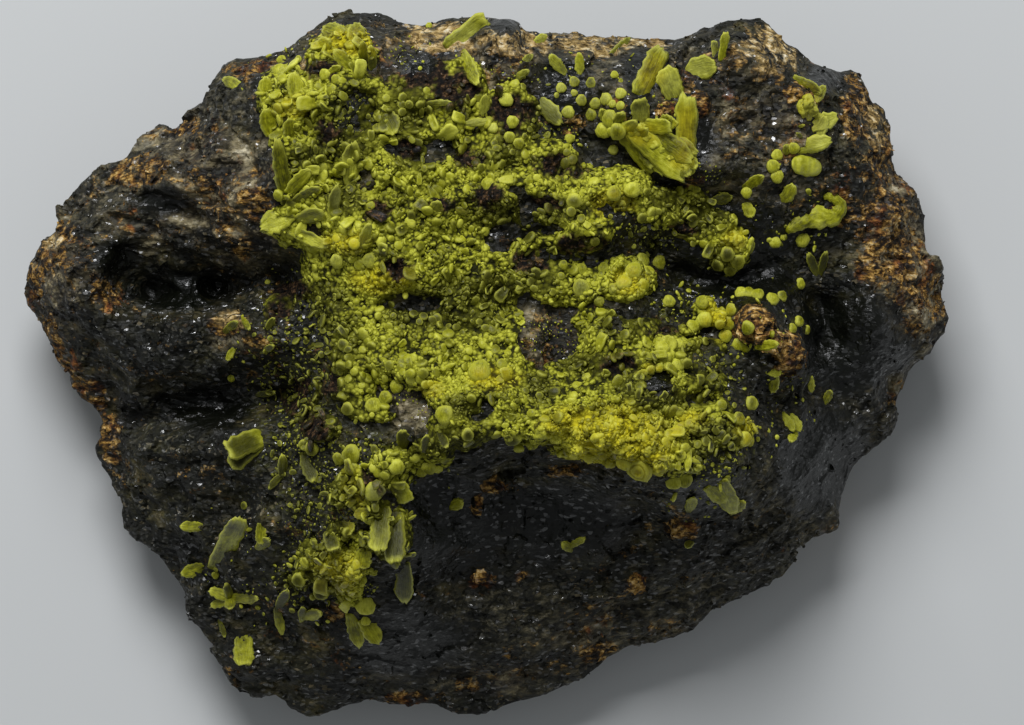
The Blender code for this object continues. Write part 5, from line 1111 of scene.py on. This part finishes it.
SMALL_BUTTONS = [
    (6.11, -0.31, 0.17), (6.38, -0.19, 0.19), (6.69, -0.12, 0.19), (7, -0.04, 0.16), (6.81, 0.62, 0.31),
    (5.14, 9.12, 0.19), (5.45, 9.19, 0.19), (5.68, 9, 0.23), (5.95, 9.08, 0.19), (6.15, 8.77, 0.23),
    (6.38, 8.57, 0.19), (6.54, 8.34, 0.19), (7.74, 7.72, 0.19), (7.93, 7.49, 0.19), (4.91, 8.96, 0.19),
    (2.97, 10.63, 0.21), (3.74, 10.16, 0.23), (5.26, 10.4, 0.23), (5.26, 9.93, 0.19), (5.02, 11.13, 0.16),
    (5.26, 10.9, 0.1), (4.95, 10.01, 0.16), (3.47, 10.44, 0.14), (1.11, 9.31, 0.25), (0.99, 8.73, 0.23),
    (0.37, 9.08, 0.21), (1.57, 8.77, 0.12), (3.28, 8.69, 0.19), (4.98, 8.26, 0.21), (4.52, 9.12, 0.19),
    (4.79, 9.62, 0.19), (1.8, 7.06, 0.23), (0.17, 6.91, 0.27), (3.05, 3.84, 0.19), (3.74, 3.69, 0.23),
    (4.6, 3.72, 0.23), (8.09, 6.75, 0.25), (7.12, 2.44, 0.25), (4.44, 2.44, 0.23), (6.19, 4.19, 0.23),
    (-5.57, 4, 0.31), (-4.33, 4, 0.31), (-5.37, 0.78, 0.23), (4.98, 2.91, 0.23), (4.98, 6.56, 0.31),
    (5.68, 6.71, 0.31), (5.37, 6.32, 0.27), (3.47, 6.28, 0.31), (7.47, -1.78, 0.19), (5.76, 3.61, 0.35),
    (5.37, 3.14, 0.31), (6.07, 3.06, 0.27), (1.11, -2.75, 0.35), (-3.74, -1.24, 0.27), (-5.18, -1.67, 0.27),
    (-1.45, -1.9, 0.39), (-0.14, -0.27, 0.47), (11.08, 2.52, 0.27), (11.46, 2.64, 0.23),
    (-7.78, 11.75, 0.19), (-7.12, 11.75, 0.16), (-7.86, 11.33, 0.27), (-6.07, 11.13, 0.23),
    (-5.64, 10.94, 0.19), (-10.42, -8.15, 0.16), (-9.25, -5.43, 0.16), (9.76, -2.06, 0.27),
    (10.18, -2.91, 0.23), (-4.56, -9.89, 0.19), (-2.08, -3.88, 0.31), (-2.39, -4.07, 0.23),
    (-9.76, -0.5, 0.16), (8.01, 1.47, 0.23), (7.43, 0, 0.27), (7.12, 0.39, 0.23), (7.47, 0.78, 0.23),
    (9.37, 4.27, 0.31), (9.76, 4, 0.31), (9.1, 4.46, 0.27), (9.02, 3.88, 0.27), (9.48, 3.69, 0.27),
]


# %% Larger crystals: shells
def new_parts():
    """What a piece is built from: points, faces, and for each point the marks that its finish reads."""
    return {"points": [], "faces": [], "rim": [], "across": [], "along": [], "tone": []}


def add_shell(parts, rings, marks, tone, poles=0.0):
    """A closed skin over rings of points, each end closed by a fan. Marks are rim, which is how much
    painted highlight a point gets, across and along, and poles is how far a fan's middle stands out,
    as a share of the step to the next ring."""
    start = len(parts["points"])
    count = len(rings[0])
    for ring in rings:
        parts["points"] += ring
    for step in range(len(rings) - 1):
        for i in range(count):
            after = (i + 1) % count
            low = start + step * count
            parts["faces"].append((low + i, low + after, low + count + after, low + count + i))
    for ring, inner, first, flip in (
        (rings[0], rings[1], start, True), (rings[-1], rings[-2], start + (len(rings) - 1) * count, False),
    ):
        hub = len(parts["points"])
        middle = sum(ring, Vector()) / count
        parts["points"].append(middle + poles * (middle - sum(inner, Vector()) / count))
        for i in range(count):
            face = (first + i, first + (i + 1) % count, hub)
            parts["faces"].append(face[::-1] if flip else face)
        marks = marks + [(marks[first - start][0] * 0.5, 0.0, marks[first - start][2])]
    for key, column in zip(("rim", "across", "along"), zip(*marks)):
        parts[key] += column
    parts["tone"] += [tone] * len(marks)


def chance(x, y, layer=0.0):
    """A number from 0 to 1 that is always the same for the same place."""
    return 0.5 + 0.5 * noise.cell(Vector((x * 7.1, y * 7.1, layer)) + Vector((0.5, 0.5, 0.5)))


# %% Larger crystals: a tab
TAB_STATIONS = 16
TAB_ACROSS = 9
RIDGES = 4.0            # ridges across half a tab
RIDGE_DEPTH = 0.5       # as a share of its thickness
TAPER = 0.45            # the share of its thickness that it loses towards its tip
BEND = 0.12             # how far it bows, as a share of its length
CUP = 0.2               # how hollow it is across, as a share of its half width
STEP_BACK = 0.12        # how ragged its tip is, as a share of its length
OUTLINES = {            # half a tab's width in tab widths at shares of its length
    "leaf": [(0.0, 0.28), (0.3, 0.43), (0.62, 0.5), (0.84, 0.4), (1.0, 0.16)],
    "blunt": [(0.0, 0.34), (0.12, 0.46), (0.5, 0.48), (0.8, 0.5), (0.92, 0.44), (1.0, 0.32)],
    "hexagon": [(0.0, 0.14), (0.26, 0.48), (0.72, 0.5), (1.0, 0.22)],
}
BLUNT = (
    "spray_top_right", "fan_lower_left", "blade_lower_left", "tablet_bottom_left", "crust_lower_left",
    "leaf_pair", "blade_top", "stack_top_right",
)
HEXAGON = ("flake_hex", "flake_right", "tablet_top")


def add_tab(parts, tree, tab, outline):
    """A tab or blade from its root in the ground to its tip, which is lifted clear of the ground."""
    root_x, root_y, tip_x, tip_y, width, roll, rise, thickness = tab
    luck = chance(root_x, root_y)
    root = Vector((root_x, root_y, ground_height(tree, root_x, root_y) - 0.6 * thickness))
    tip = Vector((tip_x, tip_y, 0.0))
    for share in (0.4, 0.7, 1.0):
        spot = root.lerp(tip, share)
        wanted = ground_height(tree, spot.x, spot.y) + rise * share
        tip.z = max(tip.z, root.z + (wanted - root.z) / share)
    along = (tip - root).normalized()
    across = along.cross(Vector((0.0, 0.0, 1.0))).normalized()
    across = Matrix.Rotation(math.radians(roll), 3, along) @ across
    facing = across.cross(along)
    length = (tip - root).length
    shares, halves = zip(*OUTLINES[outline])
    rings, marks = [], []
    for station in range(TAB_STATIONS):
        share = station / (TAB_STATIONS - 1)
        half = width * float(np.interp(share, shares, halves))
        ragged = 0.12 + 0.25 * share
        left, right = (
            half * (1.0 + ragged * noise.noise(Vector((share * 9.0, luck * 50.0, layer))))
            for layer in (1.0, 9.0)
        )
        bend = facing * (BEND * (luck - 0.35) * length * (share**2 - share))
        centre = root.lerp(tip, share) + bend
        ring = []
        for side in (1, -1):
            steps = range(TAB_ACROSS) if side == 1 else range(TAB_ACROSS - 2, 0, -1)
            for i in steps:
                u = 2.0 * i / (TAB_ACROSS - 1) - 1.0
                thick = 0.5 * thickness * math.sqrt(max(0.0, 1.0 - u**4))
                ridge = noise.noise(Vector((RIDGES * u, luck * 30.0, share)))
                thick *= (1.0 - TAPER * share**3) * (1.0 + RIDGE_DEPTH * ridge)
                cup = CUP * (luck - 0.3) * half * u * u
                off = -across * u * (left if u < 0 else right) + facing * (side * thick + cup)
                uneven = noise.noise(Vector((u * 3.0, luck * 40.0, 3.0)))
                step_back = STEP_BACK * length * uneven * share**4
                ring.append(centre + off + along * step_back)
                # Its sides and tip get a painted highlight.
                edge = 0.9 * max(abs(u) - 0.72, 0.0) / 0.28 + max(share - 0.86, 0.0) / 0.14
                marks.append((min(1.0, edge), u, share * length / width))
        rings.append(ring)
    add_shell(parts, rings, marks, 0.12 + 0.6 * luck)


# %% Larger crystals: a button and a knob
BUTTON_SIDES = 14
BUTTON_PROFILE = [      # share of the radius out, share up, how near the rim, which sets its painted highlight
    (0.72, -0.9, 0.0), (0.94, -0.25, 0.2), (1.0, 0.08, 0.9), (0.96, 0.34, 1.0), (0.83, 0.56, 0.7),
    (0.62, 0.7, 0.2), (0.35, 0.78, 0.0),
]
RINGED_FROM = 0.55      # a button of this radius or more shows growth rings
RINGED_PROFILE = [
    (0.72, -0.9, 0.0), (0.92, -0.2, 0.2), (1.0, 0.15, 0.7), (0.97, 0.34, 1.0), (0.84, 0.46, 0.3),
    (0.8, 0.54, 0.6), (0.66, 0.62, 0.7), (0.54, 0.6, 0.0), (0.46, 0.68, 0.6), (0.3, 0.72, 0.3),
    (0.2, 0.69, 0.0),
]
KNOB_SIDES = 22
KNOB_PROFILE = [
    (0.6, -0.9, 0.0), (0.86, -0.55, 0.0), (0.98, -0.2, 0.2), (1.0, 0.1, 0.4), (0.93, 0.38, 0.6),
    (0.8, 0.6, 0.7), (0.62, 0.78, 0.7), (0.42, 0.9, 0.6), (0.2, 0.97, 0.6),
]
KNOB_GRAIN = 0.16       # mm across the grains that a knob is made of


def add_button(parts, tree, button):
    """A button that leans as the ground under it does, with growth rings where it is large."""
    x, y, radius = button
    luck = chance(x, y, 3.0)
    foot = Vector((x, y, ground_height(tree, x, y)))
    east = ground_height(tree, x + radius, y) - ground_height(tree, x - radius, y)
    north = ground_height(tree, x, y + radius) - ground_height(tree, x, y - radius)
    lean = Vector((-east, -north, 5.0 * radius)).normalized()
    turn = Vector((0.0, 0.0, 1.0)).rotation_difference(lean).to_matrix()
    rings, marks = [], []
    for out, up, rim in RINGED_PROFILE if radius >= RINGED_FROM else BUTTON_PROFILE:
        ring = []
        for i in range(BUTTON_SIDES):
            angle = math.tau * i / BUTTON_SIDES + luck
            wobble = 1.0 + 0.06 * math.cos(3 * angle + 9 * luck) + 0.04 * math.cos(6 * angle)
            wide = out * wobble * (0.9 + 0.14 * luck)
            place_in = Vector((math.cos(angle) * wide, math.sin(angle) * out * wobble, up))
            place_in += 0.07 * noise.noise_vector(place_in * 2.5 + Vector((x, y, 0.0)))
            ring.append(foot + turn @ place_in * radius)
            marks.append((rim, math.cos(angle) * out, math.sin(angle) * out))
        rings.append(ring)
    add_shell(parts, rings, marks, 0.3 + 0.6 * luck)


def add_knob(parts, tree, knob):
    """A lump of grown-together grains, high and round."""
    x, y, radius = knob
    luck = chance(x, y, 5.0)
    foot = Vector((x, y, ground_height(tree, x, y) - 0.25 * radius))
    rings, marks = [], []
    for out, up, rim in KNOB_PROFILE:
        ring = []
        for i in range(KNOB_SIDES):
            angle = math.tau * i / KNOB_SIDES + luck
            deep = math.sin(angle) * out * (0.8 + 0.3 * luck)
            off = Vector((math.cos(angle) * out, deep, 0.75 * up)) * radius
            near = noise.voronoi((foot + off) / KNOB_GRAIN)[0][0]
            dome = math.sqrt(max(0.0, 1.0 - (near / 0.75) ** 2))
            off *= 0.74 + 0.4 * dome + 0.5 * noise.noise((foot + off) / (0.9 * radius))
            ring.append(foot + off)
            # The top of each grain gets the rims' painted highlight.
            marks.append((rim * dome, math.cos(angle) * out, math.sin(angle) * out))
        rings.append(ring)
    add_shell(parts, rings, marks, 0.3 + 0.6 * luck)


# %% Larger crystals: a strand
STRANDS = {             # x, y, radius along each strand
    "rosette_right": [
        (11.66, 5.13, 0.1), (11.78, 5.22, 0.2), (12.09, 5.46, 0.28), (12.54, 5.66, 0.38), (13, 5.7, 0.46),
        (13.42, 5.73, 0.42), (13.71, 5.93, 0.3), (13.75, 6.23, 0.22), (13.52, 6.46, 0.2),
        (13.24, 6.5, 0.17), (13.1, 6.46, 0.08),
    ],
    "bean_right": [
        (11.84, 7.72, 0.14), (11.92, 7.72, 0.3), (12.15, 7.71, 0.39), (12.42, 7.67, 0.39),
        (12.72, 7.61, 0.36), (12.94, 7.57, 0.26), (13.01, 7.56, 0.1),
    ],
}
STRAND_STEPS = 4        # stations between two given ones
STRAND_SIDES = 20


def add_strand(parts, tree, run, grooves):
    """A thick band that lies along a run, with grooves that follow it."""
    given = np.array(run)
    stations = np.linspace(0, len(run) - 1, STRAND_STEPS * (len(run) - 1) + 1)
    line = np.column_stack([np.interp(stations, range(len(run)), given[:, i]) for i in range(3)])
    for _ in range(STRAND_STEPS):
        line[1:-1] = 0.25 * line[:-2] + 0.5 * line[1:-1] + 0.25 * line[2:]
    ahead = np.gradient(line[:, :2], axis=0)
    rings, marks = [], []
    for number, ((x, y, radius), (run_x, run_y)) in enumerate(zip(line, ahead)):
        across = Vector((run_y, -run_x, 0.0)).normalized()
        foot = Vector((x, y, ground_height(tree, x, y)))
        ring = []
        for i in range(STRAND_SIDES):
            angle = math.tau * i / STRAND_SIDES
            u, up = math.cos(angle), math.sin(angle)
            swell = 1.0 + 0.2 * noise.noise(Vector((x * 3.0, y * 3.0, u)))
            swell += 0.14 * grooves * math.cos(3.4 * math.pi * u + 0.25 * number) * max(up, 0.0)
            swell += 0.3 * grooves * noise.noise(Vector((x * 7.0, y * 7.0, 3.0 * u + up)))
            ring.append(foot + (across * u + Vector((0.0, 0.0, 0.12 + 0.75 * up))) * radius * swell)
            # Its sides get a painted highlight.
            marks.append((0.8 * max(abs(u) - 0.75, 0.0) / 0.25, grooves * u, 0.3 * grooves * number))
        rings.append(ring)
    add_shell(parts, rings, marks, 0.85 - 0.35 * grooves)


# %% Larger crystals: one piece for each group that grew together
STRAND_CLEARANCE = 0.5  # a button less than this from a strand's middle, in mm, is part of the strand
SAME_PLACE = 0.1        # a button within this of a mound's middle is that mound


def growth_mesh(name, parts):
    """The parts as a mesh, with the marks and tints that the finish reads."""
    mesh = bpy.data.meshes.new(name)
    mesh.from_pydata([point * MM for point in parts["points"]], [], parts["faces"])
    mesh.update()
    mesh.shade_smooth()
    for key in ("rim", "across", "along", "tone"):
        store(mesh, key, parts[key])
    store_tints(mesh)
    mesh.materials.append(crystal_material)
    return mesh


def grow(name, tabs, buttons, node=None, knobs=(), knob_tree=None):
    """One piece with all the crystals of a group, in place of the solid node that stands for them."""
    parts = new_parts()
    outline = "blunt" if node in BLUNT else "hexagon" if node in HEXAGON else "leaf"
    for tab in tabs:
        add_tab(parts, growth_tree, tab, outline)
    for button in buttons:
        add_button(parts, growth_tree, button)
    for knob in knobs:
        add_knob(parts, knob_tree, knob)
    if node in STRANDS:
        add_strand(parts, growth_tree, STRANDS[node], float(node != "bean_right"))
    piece = place(name, growth_mesh(name, parts))
    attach(piece, "root")
    if node:
        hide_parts(node)
    return piece.data


def clear_of(button, spots, distance):
    """Whether a button is farther than that from every one of the spots."""
    return all(math.dist(button[:2], spot[:2]) > distance for spot in spots)


def not_a_mound(button):
    """Whether a button is drawn, since the crust's own mounds stand for the others."""
    return button[2] >= RINGED_FROM or clear_of(button, CRUST_MOUNDS, SAME_PLACE)


made = {}
for node in sorted(set(TABLETS) | set(BUTTONS)):
    name = node + "_crystals" if node in CRUST_PATCHES else node + "_fine"
    buttons = [
        button for button in BUTTONS.get(node, [])
        if not_a_mound(button) and clear_of(button, STRANDS.get(node, []), STRAND_CLEARANCE)
    ]
    made[node] = grow(name, TABLETS.get(node, []), buttons, node)
made["small"] = grow("small_crystals", SMALL_TABLETS, SMALL_BUTTONS)
built_on = ground_tree([rock_surface, *crusts.values(), made["spray_top_right"], made["stack_right"]])
made["knobs"] = grow("ledge_knobs", [], [], knobs=KNOBS, knob_tree=built_on)
print("larger crystals:", sum(triangles(mesh) for mesh in made.values()), "triangles")

# %% [markdown]
# ## The crowd of small crystals
# Thousands of crystals under half a millimetre cover the crust. This is what Geometry Nodes are for:
# points are spread over a surface so that no two are closer than a spacing, each gets one of a few
# shapes, a random lean, spin and size, and a tone of its own. Density comes from a number stored on
# the ground. The ground's other numbers travel with each point to the piece that grows there, so it
# takes the tints of its place. One tree does it all, and its inputs say what grows. Instances are
# realized and the result is kept as a plain mesh.

# %% Small crystals: the shapes
# Each kind's layers: how wide, how far back or up, and how near the rim, which sets its painted highlight.
TAB_LAYERS = ((0.76, -0.5, 0.1), (1.0, -0.1, 0.5), (0.93, 0.3, 0.5), (0.6, 0.52, 0.1))
PLATE_LAYERS = ((0.7, -0.1, 0.0), (0.96, -0.06, 0.5), (1.0, 0.02, 1.0), (0.9, 0.09, 0.6), (0.55, 0.1, 0.0))
BUTTON_LAYERS = ((0.8, -0.6, 0.0), (1.0, 0.0, 0.4), (0.92, 0.32, 0.8), (0.6, 0.5, 0.2))
BEAD_LAYERS = ((0.92, -0.35), (0.88, 0.4))
PLATE_SIDES = 14


def add_shape(kind, rings, rims, poles, smooth=True):
    """One shape of about unit size, for the scattering to copy, in the collection of its kind."""
    parts = new_parts()
    rings = [[Vector(point) for point in ring] for ring in rings]
    add_shell(parts, rings, [(rim, 0.0, 0.0) for rim in rims], 0.5, poles)
    mesh = bpy.data.meshes.new(kind)
    mesh.from_pydata(parts["points"], [], parts["faces"])
    mesh.update()
    if smooth:
        mesh.shade_smooth()
    store(mesh, "rim", parts["rim"])
    group = bpy.data.collections.get(kind) or bpy.data.collections.new(kind)
    group.objects.link(bpy.data.objects.new(kind, mesh))


def tab_rings(width, thickness, corner):
    """A tab that stands on its root: an outline of eight points, thinner towards its rim."""
    outline = [
        (0.28, -0.15), (0.46, 0.2), (0.5, 0.62), (corner, 0.93), (0.0, 1.0), (-corner, 0.9), (-0.5, 0.56),
        (-0.4, 0.1),
    ]
    rings, rims = [], []
    for spread, back, rim in TAB_LAYERS:
        rings.append([
            (x * width * spread, back * thickness, 0.42 + (z - 0.42) * spread) for x, z in outline
        ])
        rims += [rim if z > 0.0 else 0.1 for _, z in outline]
    return rings, rims


def plate_rings(turn, wide):
    """A larger, irregular tab that stands on its root, cupped, with a blunt tip."""
    rings, rims = [], []
    for spread, back, rim in PLATE_LAYERS:
        ring = []
        for i in range(PLATE_SIDES):
            angle = math.tau * i / PLATE_SIDES
            x, z = (math.copysign(abs(f(angle)) ** 0.75, f(angle)) for f in (math.cos, math.sin))
            reach = spread * (1.0 + 0.3 * noise.noise(Vector((x * 2.0, z * 2.0, turn * 9.0))))
            beside = 0.5 * wide * x * reach * (0.8 + 0.2 * z)
            ring.append((beside, back + 0.12 * x * x, 0.4 + 0.55 * z * reach))
            rims.append(rim if z > -0.4 else 0.1)
        rings.append(ring)
    return rings, rims


def button_rings(oval, sides, turn):
    """A low round button, wider than high, with a raised rim."""
    rings, rims = [], []
    for out, up, rim in BUTTON_LAYERS:
        angles = [math.tau * i / sides + turn for i in range(sides)]
        rings.append([(math.cos(a) * out, math.sin(a) * out * oval, up) for a in angles])
        rims += [rim] * sides
    return rings, rims


def bead_rings(sides, tall, turn, uneven, oval=1.0):
    """A tiny grain: round, flat, or a broken chip where it is uneven."""
    rings = []
    for out, up in BEAD_LAYERS:
        ring = []
        for i in range(sides):
            angle = math.tau * i / sides + turn
            reach = out * (1.0 + uneven * noise.noise(Vector((i * 1.7, up * 3.0, turn * 5.0))))
            lift = uneven * noise.noise(Vector((turn * 7.0, i * 2.3, out)))
            ring.append((math.cos(angle) * reach, math.sin(angle) * reach * oval, up * tall + lift))
        rings.append(ring)
    return rings, [0.3] * (2 * sides)


for width, thickness, corner in ((0.5, 0.3, 0.3), (0.62, 0.28, 0.38), (0.8, 0.3, 0.34), (0.42, 0.26, 0.2)):
    add_shape("tabs", *tab_rings(width, thickness, corner), 0.3)
for turn, wide in ((0.1, 0.7), (0.5, 0.95), (0.9, 0.5), (1.4, 0.8)):
    add_shape("plates", *plate_rings(turn, wide), 0.2)
for oval, sides, turn in ((1.0, 9, 0.0), (0.8, 8, 0.4), (0.92, 7, 1.0)):
    add_shape("buttons", *button_rings(oval, sides, turn), 0.2)
for tall, turn, oval in ((0.85, 0.0, 1.0), (0.5, 0.5, 0.8), (0.4, 1.1, 0.6), (0.6, 1.6, 0.7)):
    add_shape("beads", *bead_rings(6, tall, turn, 0.2, oval), 0.5)
for tall, turn in ((0.6, 0.2), (0.9, 0.9), (0.45, 1.7), (0.7, 2.6)):
    add_shape("chips", *bead_rings(5, tall, turn, 1.0), 0.3, smooth=False)

# %% Small crystals: the scattering tree
INPUTS = [
    ("Host", "NodeSocketGeometry"), ("Shapes", "NodeSocketCollection"), ("Material", "NodeSocketMaterial"),
    ("Crowd", "NodeSocketString"), ("Spacing", "NodeSocketFloat"), ("Density", "NodeSocketFloat"),
    ("Smallest", "NodeSocketFloat"), ("Largest", "NodeSocketFloat"), ("Least lean", "NodeSocketFloat"),
    ("Most lean", "NodeSocketFloat"), ("Seed", "NodeSocketInt"),
]
PICKS = 12              # a multiple of 3 and 4, the numbers of shapes in a kind, so none comes up more


def scatter_tree():
    """The tree, and the identifier of each of its inputs."""
    tree = bpy.data.node_groups.new("scatter on a surface", "GeometryNodeTree")
    keys = {}
    for name, kind in INPUTS:
        keys[name] = tree.interface.new_socket(name, in_out="INPUT", socket_type=kind).identifier
    tree.interface.new_socket("Result", in_out="OUTPUT", socket_type="NodeSocketGeometry")
    given = add(tree, "NodeGroupInput").outputs
    crowd = add(tree, "GeometryNodeInputNamedAttribute", {"Name": given["Crowd"]}, data_type="FLOAT")
    spread = add(
        tree, "GeometryNodeDistributePointsOnFaces",
        {"Mesh": given["Host"], "Distance Min": given["Spacing"], "Density Max": given["Density"],
         "Density Factor": crowd, "Seed": given["Seed"]},
        distribute_method="POISSON",
    )
    lean = add(
        tree, "FunctionNodeRandomValue",
        {"Min": given["Least lean"], "Max": given["Most lean"], "Seed": 1},
    )
    spin = add(tree, "FunctionNodeRandomValue", {"Max": math.tau, "Seed": 2})
    turn = add(tree, "ShaderNodeCombineXYZ", {"X": lean, "Z": spin})
    own = add(tree, "FunctionNodeEulerToRotation", {0: turn})
    facing = add(
        tree, "FunctionNodeRotateRotation", {"Rotation": spread.outputs["Rotation"], "Rotate By": own},
        rotation_space="LOCAL",
    )
    luck = add(tree, "FunctionNodeRandomValue", {"Seed": 3})
    skewed = add(tree, "ShaderNodeMath", {0: luck, 1: 2.4}, operation="POWER")
    size = add(
        tree, "ShaderNodeMapRange",
        {"Value": skewed, "To Min": given["Smallest"], "To Max": given["Largest"]},
    )
    group = add(
        tree, "GeometryNodeCollectionInfo",
        {"Collection": given["Shapes"], "Separate Children": True, "Reset Children": True},
    )
    pick = add(tree, "FunctionNodeRandomValue", {"Min": 0, "Max": PICKS - 1, "Seed": 4}, data_type="INT")
    copies = add(
        tree, "GeometryNodeInstanceOnPoints",
        {"Points": spread.outputs["Points"], "Instance": group, "Pick Instance": True,
         "Instance Index": pick, "Rotation": facing, "Scale": size},
    )
    tone = add(tree, "FunctionNodeRandomValue", {"Seed": 5})
    toned = add(
        tree, "GeometryNodeStoreNamedAttribute", {"Geometry": copies, "Name": "tone", "Value": tone},
        data_type="FLOAT", domain="INSTANCE",
    )
    real = add(tree, "GeometryNodeRealizeInstances", {"Geometry": toned})
    painted = add(tree, "GeometryNodeSetMaterial", {"Geometry": real, "Material": given["Material"]})
    add(tree, "NodeGroupOutput", {0: painted})
    return tree, keys


scattering, input_keys = scatter_tree()


def scatter(name, host, kind, crowd, lengths, density, lean, seed, material):
    """Grows small pieces of a kind over a host mesh. Lengths are spacing, smallest and largest in mm,
    density is pieces to a square mm, and lean is least and most in degrees."""
    ground = place(name + "_ground", host)
    growing = ground.modifiers.new("scatter", "NODES")
    growing.node_group = scattering
    values = {
        "Shapes": bpy.data.collections[kind], "Material": material, "Crowd": crowd, "Seed": seed,
        "Spacing": lengths[0] * MM, "Smallest": lengths[1] * MM, "Largest": lengths[2] * MM,
        "Density": density / MM**2,
        "Least lean": math.radians(lean[0]), "Most lean": math.radians(lean[1]),
    }
    for key, value in values.items():
        growing[input_keys[key]] = value
    mesh = evaluated_mesh(ground)
    bpy.data.objects.remove(ground)
    mesh.name = name
    print(name, triangles(mesh), "triangles")
    return mesh


# %% Small crystals: how crowded each kind is
GRAINY = ("cluster_right", "knobs")     # larger crystals that small ones grow on, as on the crust


def joined(name, meshes):
    """Copies of meshes joined as one host to grow on."""
    bm = bmesh.new()
    for mesh in meshes:
        bm.from_mesh(mesh)
    result = bpy.data.meshes.new(name)
    bm.to_mesh(result)
    bm.free()
    return result


for node in GRAINY:
    _, facing = mesh_arrays(made[node])
    store(made[node], "crowd", 0.8 * ramp(facing[:, 2], 0.0, 0.6))
crust_host = joined("crust_host", [*crusts.values(), *(made[node] for node in GRAINY)])
places, _ = mesh_arrays(crust_host)
crowd = stored(crust_host, "crowd")
clumps = lumps(places, 1.1, 51.0)
gaps = 0.75 + 0.8 * lumps(places, 0.9, 55.0) + 0.9 * lumps(places, 0.4, 56.0, 2)
standing = [row for rows in (*BUTTONS.values(), SMALL_BUTTONS) for row in rows if not_a_mound(row)]
free = 1.0 - ramp(cover(places, [(x, y, radius, radius) for x, y, radius in standing]), -0.4, 0.3)
buttons_here, tabs_here, beads_here = (
    ramp(cover(places, patches), -0.6, 0.6) for patches in (BUTTON_PATCHES, TAB_PATCHES, BEAD_PATCHES)
)
button_share = np.clip(0.35 + 0.65 * buttons_here + 0.5 * clumps, 0.0, 1.0)
tab_share = np.clip(0.08 + 0.8 * tabs_here - 0.5 * clumps, 0.0, 1.0)
bead_share = np.clip(0.35 + 0.65 * beads_here, 0.0, 1.0)
store(crust_host, "button_crowd", free * crowd * button_share)
store(crust_host, "tab_crowd", free * crowd * tab_share)
store(crust_host, "bead_crowd", crowd * bead_share * np.clip(gaps, 0.1, 1.0))

places, facing = mesh_arrays(rock_surface)
upwards = ramp(facing[:, 2], 0.1, 0.5)
near = cover(places, SPRINKLE_PATCHES) + 0.8 * lumps(places, 1.0, 53.0)
dense = cover(places, FILM_PATCHES) + 0.6 * lumps(places, 0.7, 54.0)
flecked = cover(places, FLECK_PATCHES) + 0.4 * lumps(places, 0.5, 57.0)
lying = ramp(places[:, 2], 0.6, 1.2)
lying *= 0.15 + 0.85 * ramp(np.abs(facing[:, 2]), 0.15, 0.5)
patchy = np.clip(0.45 + 0.7 * lumps(places, 1.6, 59.0), 0.0, 1.0)
store(rock_surface, "sprinkle", upwards * np.maximum(0.2 * ramp(near, 0.2, 1.2), ramp(dense, -0.3, 0.9)))
store(rock_surface, "flecks", upwards * ramp(flecked, 0.0, 0.8))
store(rock_surface, "crumbs", lying * ramp(stored(rock_surface, "rust"), 0.35, 0.6))
store(rock_surface, "chips", lying * (1.0 - 0.8 * stored(rock_surface, "gloss")) * patchy)

# %% Small crystals: grow them
GROWN = [               # name, shapes, crowd, lengths, density, lean, seed
    ("crust_tabs", "tabs", "tab_crowd", (0.22, 0.18, 0.56), 16.0, (30.0, 85.0), 11),
    ("crust_buttons", "buttons", "button_crowd", (0.24, 0.07, 0.26), 14.0, (0.0, 35.0), 12),
    ("crust_plates", "plates", "tab_crowd", (0.45, 0.35, 0.85), 1.8, (30.0, 80.0), 14),
    ("crust_balls", "buttons", "button_crowd", (0.5, 0.16, 0.3), 0.8, (0.0, 35.0), 15),
    ("crust_beads", "beads", "bead_crowd", (0.1, 0.06, 0.16), 110.0, (0.0, 180.0), 13),
    ("sprinkled_tabs", "tabs", "sprinkle", (0.24, 0.14, 0.4), 6.0, (30.0, 85.0), 21),
    ("sprinkled_buttons", "buttons", "sprinkle", (0.24, 0.06, 0.15), 6.0, (0.0, 35.0), 22),
    ("sprinkled_beads", "beads", "sprinkle", (0.12, 0.03, 0.09), 30.0, (0.0, 180.0), 23),
    ("pale_flecks", "beads", "flecks", (0.11, 0.03, 0.07), 40.0, (0.0, 180.0), 24),
]
for name, kind, crowd_name, lengths, density, lean, seed in GROWN:
    on_crust = name.startswith("crust")
    host = crust_host if on_crust else rock_surface
    mesh = scatter(name, host, kind, crowd_name, lengths, density, lean, seed, crystal_material)
    if not on_crust:    # what grows on the crust has the crust's tints already
        store_tints(mesh)
    piece = place(name, mesh)
    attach(piece, "root")

# %% Rock: chips and crumbs that lie on it
LOOSE = [               # name, crowd, lengths, density, seed
    ("rock_chips", "chips", (0.2, 0.05, 0.15), 10.0, 31),
    ("limonite_crumbs", "crumbs", (0.15, 0.03, 0.1), 14.0, 32),
]
CRUMB_RUST = 0.75       # so much that a crumb is limonite all through
for name, crowd_name, lengths, density, seed in LOOSE:
    mesh = scatter(
        name, rock_surface, "chips", crowd_name, lengths, density, (0.0, 180.0), seed, rock_material,
    )
    if name == "limonite_crumbs":
        store(mesh, "rust", np.full(len(mesh.vertices), CRUMB_RUST))
    piece = place(name, mesh)
    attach(piece, "root")
